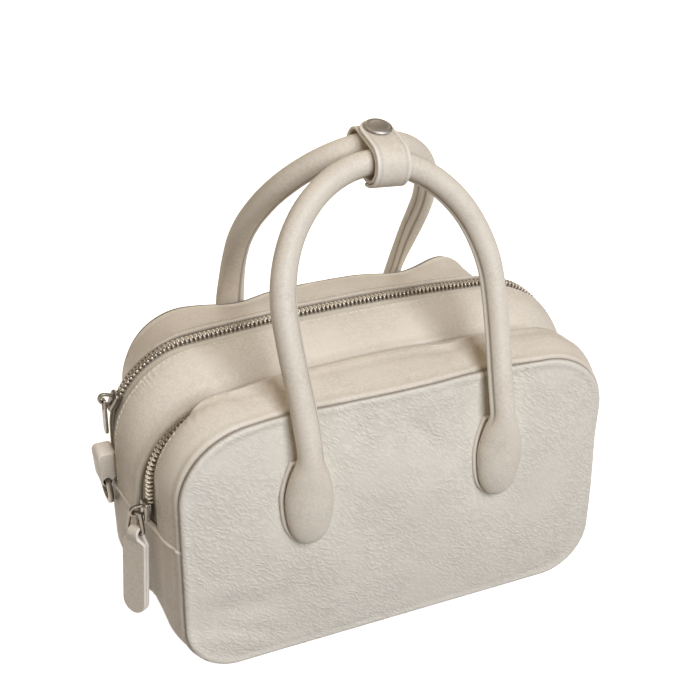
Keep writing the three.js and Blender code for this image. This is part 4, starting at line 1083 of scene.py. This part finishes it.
def along_lines(name, lines, item, pitch, material, every_second=0.0, wobble=0.03, body="bag"):
    """One plain mesh of an item's copies along lines, each given as points and directions."""
    points = np.concatenate([line[0] for line in lines])
    starts = np.cumsum([0] + [len(line[0]) for line in lines])
    edges = [(i, i + 1) for a, b in zip(starts, starts[1:]) for i in range(a, b - 1)]
    mesh = bpy.data.meshes.new(name + "_lines")
    mesh.from_pydata(((points + SHIFT) * MM).tolist(), edges, [])
    for place, key in ((1, "along"), (2, "out")):
        layer = mesh.attributes.new(key, "FLOAT_VECTOR", "POINT")
        layer.data.foreach_set("vector", np.concatenate([line[place] for line in lines]).ravel())
    carrier = bpy.data.objects.new(name + "_lines", mesh)
    bpy.context.scene.collection.objects.link(carrier)
    modifier = carrier.modifiers.new("copies", "NODES")
    modifier.node_group = REPEATER
    chosen = {"Item": item, "Pitch": pitch * MM, "Every second": every_second, "Wobble": wobble,
              "Seed": 11, "Material": material}
    for socket in REPEATER.interface.items_tree:
        if socket.name in chosen:
            modifier[socket.identifier] = chosen[socket.name]
    seen = carrier.evaluated_get(bpy.context.evaluated_depsgraph_get())
    baked = bpy.data.meshes.new_from_object(seen)
    baked.name = name
    bpy.data.objects.remove(carrier)
    bpy.data.objects.remove(item)
    piece = bpy.data.objects.new(name, baked)
    bpy.context.scene.collection.objects.link(piece)
    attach(piece, body)
    return piece


# Zips

def over_groove(y, inset, share, _main):
    """The outline over the bag, for depths on both sides of the groove."""
    behind = (np.asarray(y) > FRONT_DEPTH)[..., None]
    return np.where(behind, arch(y, inset, share, True), arch(y, inset, share, False))


def share_above(y, main, height):
    """The share of the arch at which the left side reaches a height."""
    share = np.arange(0, 0.5, 0.0005)
    return float(share[np.argmax(arch(np.full(share.shape, y), 0, share, main)[:, 2] >= height)])


def zip_line(depth, main, start, end, inset):
    """A line over the bag at one depth, with the directions along it and out of the bag."""
    share = np.linspace(start, end, 900)
    low, high = (settle(arch(np.full(share.shape, depth), deep, share, main)) for deep in (inset, inset - 1))
    along = np.gradient(low, axis=0)
    out = high - low
    return (low, along / np.linalg.norm(along, axis=1, keepdims=True),
            out / np.linalg.norm(out, axis=1, keepdims=True))


def tooth():
    """A zip tooth: clamped on the tape at its outer end, with a rounded head past the middle."""
    side = [(-2.8, 0.5), (-2.5, 0.72), (-1.1, 0.66), (-0.55, 0.46), (0.3, 0.5), (0.75, 0.3)]
    plan = np.array([(half, across) for across, half in side]
                    + [(-half, across) for across, half in side[::-1]])
    middle = plan.mean(axis=0)
    rings = []
    for size, rise in ((1, 0), (1, 1.7), (0.92, 2.2), (0.66, 2.55)):
        flat = middle + (plan - middle) * (size, 0.5 + size / 2)
        rings.append(np.column_stack((flat, np.full(len(flat), rise))))
    return item_object("tooth", rings)


def stitch():
    """One lock stitch, plump in its middle and sunk at both ends."""
    turn = np.linspace(0, 2 * math.pi, 9)[:-1]
    rows = [(-1.3, 0.08, -0.25), (-1.1, 0.2, -0.08), (-0.6, 0.29, 0.08), (0, 0.31, 0.12),
            (0.6, 0.29, 0.08), (1.1, 0.2, -0.08), (1.3, 0.08, -0.25)]
    return item_object("stitch", [
        np.column_stack((np.full(8, x), radius * np.cos(turn), lift + radius * np.sin(turn)))
        for x, radius, lift in rows
    ])


def zip_tape(name, node, depth):
    """The woven tape, darkened where the teeth shade it."""
    def woven(points, y, _share):
        shaded = 0.75 * np.exp(-((y - depth) / 2.9) ** 6)
        return 0.08 * ripple(points, 14, 3.3), shaded, np.zeros(y.shape)
    half = TAPE_WIDTH / 2
    strip(name, node, over_groove, depth - half, depth + half, depth > FRONT_DEPTH, woven, columns=220,
          thickness=TAPE_THICKNESS, inset=LEATHER + LAY_GAP, material=TAPE)


def slider_seat(y, main, height):
    """The place of a slider on the leather's face, and its turn up the bag's side."""
    share = share_above(y, main, height)
    at, after = (settle(arch(np.array([y]), 0, np.array([s]), main))[0] for s in (share, share + 0.002))
    along = after - at
    return Matrix.Translation(at) @ Matrix.Rotation(math.atan2(along[0], along[2]), 4, "Y")


def bent(value, power):
    """A power of a value that keeps its sign, which makes a circle squarer or more pointed."""
    return np.sign(value) * np.abs(value) ** power


def swept(name, path, across, wide, deep, material, node, matrix, body="bag", endless=False, sides=16):
    """A bar with an oval section, of half width and half depth, along a path in its own frame."""
    path = np.asarray(path, dtype=float)
    along = np.roll(path, -1, axis=0) - np.roll(path, 1, axis=0) if endless else np.gradient(path, axis=0)
    along /= np.linalg.norm(along, axis=1, keepdims=True)
    out = np.cross(along, across)
    turn = np.linspace(0, 2 * math.pi, sides + 1)[:-1]
    section = np.column_stack((bent(np.cos(turn), 0.6) * wide, bent(np.sin(turn), 0.6) * deep))
    rings = [[p + np.asarray(across) * a + o * d for a, d in section] for p, o in zip(path, out)]
    piece = loft(name, moved(rings, matrix), material, endless=endless, body=body)
    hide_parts(node)
    return piece


def slider(name, node, matrix, gap):
    """A cast slider: a body with a rounded back and side flanges, and a loop standing on it."""
    seat = LEATHER + LAY_GAP - gap
    half_wide, half_long, tall = SLIDER_WIDTH / 2, SLIDER_LENGTH / 2, SLIDER_HEIGHT
    nose = half_wide * 0.55
    turn = np.linspace(0, math.pi / 2, 8)
    right = [(half_wide - nose + nose * math.cos(t), half_long - nose + nose * math.sin(t)) for t in turn]
    tail = [(half_wide * 0.72, -half_long), (half_wide * 0.8, -half_long * 0.5), (half_wide * 0.97, 0)]
    side = tail + right
    plan = np.array(side + [(-a, u) for a, u in side[::-1]])
    rings = []
    for shrink, rise in ((0.3, 0), (0, 0.3), (0, 1.1), (0.5, 1.4), (0.5, 2.2), (0, 2.5), (0, tall - 0.8),
                         (0.35, tall - 0.25), (0.9, tall)):
        flat = plan * (1 - shrink / np.linalg.norm(plan, axis=1, keepdims=True))
        rings.append([(seat - rise, a, u) for a, u in flat])
    body = loft(name + "_body", moved(rings, matrix), HARDWARE)
    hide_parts(node)
    foot = half_long * 0.66 - BAIL_WIRE / 2
    top = seat - tall
    reach = BAIL_REACH - BAIL_WIRE / 2
    bend = np.linspace(-math.pi / 2, math.pi / 2, 25)
    path = [(top + 0.6, 0, -foot)] + [
        (top - reach * max(0, math.cos(t)) ** 0.55, 0, foot * float(bent(math.sin(t), 0.8)))
        for t in bend[1:-1]] + [(top + 0.6, 0, foot)]
    swept(name + "_loop", path, (0, 1, 0), BAIL_WIDTH / 2, BAIL_WIRE / 2, HARDWARE, node, matrix)


def hang_place(matrix, gap):
    """Where a pull's top bar hangs in its slider's loop."""
    top = LEATHER + LAY_GAP - gap - SLIDER_HEIGHT
    reach = top - BAIL_REACH + BAIL_WIRE + LINK_WIRE
    drop = SLIDER_LENGTH * 0.33 - BAIL_WIRE - LINK_WIRE / 2 - 0.2
    return np.array(matrix @ Vector((reach, 0, -drop)))


def pull_link(matrix):
    """The wire link between the front slider and its leather pull."""
    turn = np.linspace(0, 2 * math.pi, 73)[:-1]
    up = LINK_LENGTH / 2 * (bent(np.sin(turn), 1 / 3) - 1)
    half = (LINK_TOP + (LINK_FOOT - LINK_TOP) * -up / LINK_LENGTH) / 2
    path = np.column_stack((np.zeros(72), half * bent(np.cos(turn), 1 / 3), up))
    swept("pull_link", path, (1, 0, 0), LINK_WIRE / 2, LINK_WIRE / 2, HARDWARE, "front_pull_link", matrix,
          body="front_pull", endless=True)


def leather_pull(matrix):
    """One strap folded over the link's foot, its two layers meeting, with a round end."""
    bore = LINK_WIRE / 2 + RUN_GAP + 0.25
    layer = PULL_THICKNESS / 2 - 0.15
    middle = bore + layer / 2
    apart = layer / 2 + 0.12
    tip = -PULL_LENGTH
    drop = np.concatenate((np.linspace(tip + 0.02, tip + 2, 9), np.linspace(tip + 2, -5, 40)[1:]))
    neck = (LINK_FOOT - LINK_WIRE) / 2 - 0.7 - RUN_GAP
    half = PULL_WIDTH / 2
    fold = [(middle * -math.cos(t), middle * math.sin(t)) for t in np.linspace(-0.3, math.pi + 0.3, 30)]
    bend = middle * 0.8 + apart * 0.2
    path = np.array([(-apart, z) for z in drop] + [(-bend, -2.6)] + fold + [(bend, -2.6)]
                    + [(apart, z) for z in drop[::-1]])
    z = path[:, 1]
    wide = neck + (half - neck) * ease((-1.5 - z) / 4.5)
    above = np.clip((z - tip) / half, 0, 1)
    wide = np.minimum(wide, half * np.sqrt(1 - (1 - above) ** 2) + 0.02)
    along = np.gradient(path, axis=0)
    along /= np.linalg.norm(along, axis=1, keepdims=True)
    out = np.column_stack((along[:, 1], -along[:, 0]))
    rings, edges = [], []
    for place, o, w in zip(path, out, wide):
        profile = rounded_band(max(w, 0.45), layer, min(0.7, layer * 0.4)) - (0, layer / 2)
        rings.append([(place[0] + o[0] * up, across, place[1] + o[1] * up) for across, up in profile])
        edges.append(np.clip((np.abs(profile[:, 0]) - w + 0.55) / 0.3, 0, 1))
    shifted = matrix @ Matrix.Translation((0, 0, -LINK_LENGTH))
    piece = loft("leather_pull", moved(rings, shifted), SOFT, body="front_pull",
                 attributes={"edge": np.array(edges)})
    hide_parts("front_pull_leather")


def framed_plate(name, outer, inner, thickness, rounding, placed, material, node, body, edge=False):
    """A plate with a hole, from matching outer and inner outlines, with rounded edges."""
    outer, inner = np.asarray(outer, dtype=float), np.asarray(inner, dtype=float)
    reach = inner - outer
    step = rounding / np.linalg.norm(reach, axis=1, keepdims=True)
    half = thickness / 2
    edge_high, corner_high = half - rounding, half - rounding * 0.3
    upper = ((1, edge_high), (1 - step * 0.3, corner_high), (1 - step, half), (step * 2.4, half),
             (step, half), (step * 0.3, corner_high), (0, edge_high))
    round_it = ((1, -edge_high),) + upper + tuple((share, -level) for share, level in upper[:0:-1])
    rows = [np.column_stack((outer + reach * share, np.full(len(outer), level)))
            for share, level in round_it]
    rings = placed(np.stack(rows, axis=1))
    painted = np.zeros(rings.shape[:2])
    painted[:, 6:10] = 1 if edge else 0
    piece = loft(name, rings, material, endless=True, body=body, attributes={"edge": painted})
    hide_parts(node)
    return piece


def metal_pull(place):
    """The flat tongue of the main zip, with its eye over the slider's loop."""
    half, bar = METAL_PULL_WIDTH / 2, LINK_WIRE * 0.7
    eye_half, eye_low = METAL_EYE_WIDTH / 2, -bar / 2 - METAL_EYE_LENGTH
    turn = np.linspace(0, 2 * math.pi, 65)[:-1]
    square = np.column_stack((bent(np.cos(turn), 0.35), bent(np.sin(turn), 0.35)))
    long = (METAL_PULL_LENGTH + bar / 2) / 2
    outer = square * (half, long) + (0, bar / 2 - long)
    low = outer[:, 1] < half - METAL_PULL_LENGTH
    deep = np.clip((half - METAL_PULL_LENGTH - outer[:, 1]) / half, 0, 1)
    outer[low, 0] = np.sign(outer[low, 0]) * half * np.sqrt(1 - deep[low] ** 2)
    inner = square * (eye_half, METAL_EYE_LENGTH / 2) + (0, (eye_low - bar / 2) / 2)
    framed_plate("main_zip_tongue", outer, inner, METAL_PULL_THICKNESS, 0.35,
                 lambda p: np.stack((p[..., 2], p[..., 0], p[..., 1]), -1) + place,
                 HARDWARE, "main_pull", "main_pull_tab")


def zips():
    """Both zips: tapes, sliders, teeth, the stitches beside them, and the pulls."""
    zip_tape("front_woven_tape", "front_zip_tape", FRONT_ZIP)
    zip_tape("main_woven_tape", "main_zip_tape", MAIN_ZIP)
    top = section(np.array([MAIN_ZIP]), True)
    main_height = float(top["top"][0] - top["upper"][0] * (1 - math.sin(math.radians(MAIN_SLIDER_TURN))))
    seats = {
        "front": (FRONT_ZIP, False, BASE_SEAM + FRONT_SLIDER_RISE, FRONT_SLIDER_GAP),
        "main": (MAIN_ZIP, True, main_height, MAIN_SLIDER_GAP),
    }
    hangs = {}
    for name, (depth, main, height, gap) in seats.items():
        matrix = slider_seat(depth, main, height)
        slider(name + "_zip_slider", name + "_slider", matrix, gap)
        hangs[name] = hang_place(matrix, gap)
        start = share_above(depth, main, matrix.translation.z + SLIDER_LENGTH / 2 - 0.5)
        end = 1 - share_above(depth, main, TAB_FOOT + TAB_HEIGHT) if main else 1
        line = zip_line(depth, main, start, end, LEATHER + LAY_GAP)
        teeth = along_lines(name + "_zip_teeth", [line], tooth(), 1.25, TEETH, every_second=math.pi)
        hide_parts(name + "_zip_chain")
    edge = ZIP_OPENING / 2 + 2.4
    lines = [zip_line(FRONT_ZIP - edge, False, 0.02, SHOWN, 0.05),
             zip_line(MAIN_ZIP - edge, True, 0.02, 0.98, 0.05)]
    along_lines("zip_edge_stitches", lines, stitch(), 3.2, THREAD, wobble=0.05)
    front = (Matrix.Translation(hangs["front"]) @ Matrix.Rotation(math.radians(PULL_TWIST), 4, "Z")
             @ Matrix.Rotation(math.radians(PULL_LEAN), 4, "Y"))
    pull_link(front)
    leather_pull(front)
    metal_pull(hangs["main"])


# Sides and divider

def side_wall():
    """The half width of the body behind a side tab."""
    depth = np.linspace(MAIN_ZIP - TAB_WIDTH / 2, MAIN_ZIP + TAB_WIDTH / 2, 9)
    inset = LEATHER + LAY_GAP
    share = [share_above(y, True, TAB_FOOT + TAB_HEIGHT / 2) for y in depth]
    return max(abs(float(arch(np.array([y]), inset, np.array([1 - s]), True)[0, 0]))
               for y, s in zip(depth, share))


def side_hardware():
    """Leather loops at the ends of the main zip, with the strap rings through them."""
    wall = side_wall()
    sunk = LEATHER + LAY_GAP
    bulb = RING_WIRE / 2 + RUN_GAP + 1.5
    bar_out, bar_up = sunk + LAY_GAP + bulb + 0.4, bulb * 0.45
    reach, corner = sunk + TAB_REACH, 3
    bottom = np.linspace(math.pi, 2 * math.pi, 20)
    round_top = np.linspace(0, math.pi / 2, 8)
    border = np.array(
        [(bar_out + bulb * math.cos(t), bar_up + bulb * math.sin(t)) for t in bottom]
        + [(reach + corner * (math.cos(t) - 1), TAB_HEIGHT + corner * (math.sin(t) - 1)) for t in round_top]
        + [(LAY_GAP + 1, TAB_HEIGHT), (LAY_GAP, TAB_HEIGHT - 1), (LAY_GAP, bar_up + bulb)])
    closed = np.vstack((border, border[:1]))
    walked = np.concatenate(([0], np.cumsum(np.linalg.norm(np.diff(closed, axis=0), axis=1))))
    even = np.linspace(0, walked[-1], 97)[:-1]
    outer = np.column_stack([np.interp(even, walked, closed[:, i]) for i in (0, 1)])
    centre = np.array([bar_out, bar_up])
    spokes = outer - centre
    inner = centre + spokes / np.linalg.norm(spokes, axis=1, keepdims=True) * (RING_WIRE / 2 + RUN_GAP)
    half = TAB_WIDTH / 2 + RUN_GAP + RING_WIRE / 2
    turn = np.linspace(0, math.pi, 60)
    bow = np.column_stack((half * bent(np.cos(turn), 2 / 2.6), -RING_DROP * np.sin(turn) ** (2 / 2.6)))
    bar = np.column_stack((np.linspace(-half, half, 12)[1:-1], np.zeros(10)))
    loop = np.vstack((bow, bar))
    for name, side in (("left", -1), ("right", 1)):
        framed_plate(name + "_ring_loop", outer, inner, TAB_WIDTH, 0.8,
                     lambda p, side=side: np.stack((side * (wall + p[..., 0]), MAIN_ZIP + p[..., 2],
                                                    TAB_FOOT + p[..., 1]), -1),
                     SOFT, name + "_side_tab", "bag", edge=True)
        place = (Matrix.Translation((side * (wall + bar_out), MAIN_ZIP, TAB_FOOT + bar_up))
                 @ Matrix.Rotation(side * math.radians(RING_LEAN), 4, "Y"))
        path = np.column_stack((np.zeros(len(loop)), loop))
        swept(name + "_d_ring", path, (1, 0, 0), RING_WIRE / 2, RING_WIRE / 2, HARDWARE,
              name + "_strap_ring", place, body=name + "_ring", endless=True)


def divider():
    """The soft wall between the two compartments."""
    over, under = LEATHER + 2 * LAY_GAP + TAPE_THICKNESS, LEATHER + LAY_GAP
    ring = outline_ring(FRONT_DEPTH, True, over, under, 120)
    middle = np.array([0, FRONT_DEPTH, PANEL_HEIGHT / 2])
    rows = []
    for size, lift in [(s, -1) for s in (0.02, 0.3, 0.6, 0.9, 0.993)] + [(1, -0.6), (1, 0.6)] + [
            (s, 1) for s in (0.993, 0.9, 0.6, 0.3, 0.02)]:
        row = middle + (ring - middle) * size
        rows.append(row + (0, lift * LEATHER / 2, 0))
    rows = np.array(rows)
    rows[..., 1] += 0.3 * ripple(rows * (1, 0, 1), 30, 8.8) * (np.arange(len(rows)) % 11 > 0)[:, None]
    piece = loft("divider_leather", settle(rows), SOFT)
    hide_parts("divider_panel")


# Studio

def studio():
    """A white sweep, a soft key light in front, three weak ones, and a warm room, dark below."""
    scene = bpy.context.scene
    scene.view_settings.view_transform = "Standard"
    floor = bpy.data.meshes.new("floor")
    size = 3.0
    corners = [(-size, -size, 0), (size, -size, 0), (size, size, 0), (-size, size, 0)]
    floor.from_pydata(corners, [], [(0, 1, 2, 3)])
    material, tree, surface = new_material("pale_paper", **{
        "Roughness": 0.9, "Emission Color": linear("#fffdfa"), "Emission Strength": 0.9,
    })
    fibre = add(tree, "ShaderNodeTexNoise", {"Scale": 40.0, "Detail": 3})
    tone = ramp(tree, fibre.outputs["Fac"], (0.3, 0.97), (0.7, 1))
    tree.links.new(mixed(tree, 1.0, linear("#fbf9f6"), tone, "MULTIPLY"), surface.inputs["Base Color"])
    floor.materials.append(material)
    sweep = bpy.data.objects.new("floor", floor)
    sweep.visible_diffuse = False
    scene.collection.objects.link(sweep)
    lights = {
        "key": ((0.25, -1.75, 1.35), 1.2, 44, "#eff4ff"),
        "top": ((0.1, 0.35, 1.6), 1.2, 0.5, "#ffffff"),
        "high left": ((-0.75, 0.3, 1.3), 0.9, 3, "#fff8ee"),
        "behind": ((0.5, 1.9, 0.9), 1.5, 9, "#fff8ee"),
    }
    for name, (place, width, power, colour) in lights.items():
        light = bpy.data.lights.new(name, "AREA")
        light.size = width
        light.energy = power
        light.color = linear(colour)[:3]
        lamp = bpy.data.objects.new(name, light)
        lamp.location = place
        lamp.rotation_euler = (Vector((0, 0, 0.1)) - Vector(place)).to_track_quat("-Z", "Y").to_euler()
        scene.collection.objects.link(lamp)
    world = bpy.data.worlds.new("studio")
    world.use_nodes = True
    tree = world.node_tree
    room = tree.nodes["Background"]
    way = add(tree, "ShaderNodeTexCoord", {})
    parts = add(tree, "ShaderNodeSeparateXYZ", {"Vector": way.outputs["Generated"]})
    fade = ramp(tree, parts.outputs["Z"], (0.0, 0.06), (0.4, 0.26))
    lit = mixed(tree, 1.0, linear("#ffe4c4"), fade, "MULTIPLY")
    seen = add(tree, "ShaderNodeLightPath").outputs["Is Camera Ray"]
    tree.links.new(mixed(tree, seen, lit, (1, 1, 1, 1)), room.inputs["Color"])
    room.inputs["Strength"].default_value = 1.0
    scene.world = world


def camera():
    """The photograph's view, in the bag's frame."""
    azimuth, elevation, roll = (math.radians(v) for v in (-24.8, 29.0, 0.8))
    distance = 784.9
    aim = np.array([7.99, 85.89, 128.45])
    back = np.array([math.sin(azimuth) * math.cos(elevation), -math.cos(azimuth) * math.cos(elevation),
                     math.sin(elevation)])
    right = np.array([math.cos(azimuth), math.sin(azimuth), 0])
    up = np.cross(back, right)
    side = math.cos(roll) * right + math.sin(roll) * up
    high = math.cos(roll) * up - math.sin(roll) * right
    place = (aim + back * distance + SHIFT) * MM
    lens = bpy.data.cameras.new("camera")
    lens.sensor_fit = "HORIZONTAL"
    lens.sensor_width = 36
    lens.lens = 69.47
    seen = bpy.data.objects.new("camera", lens)
    seen.matrix_world = Matrix([[side[i], high[i], back[i], place[i]] for i in range(3)] + [[0, 0, 0, 1]])
    bpy.context.scene.collection.objects.link(seen)
    bpy.context.scene.camera = seen


camera()
studio()
gussets()
panels()
handle_set()
keeper()
zips()
side_hardware()
divider()
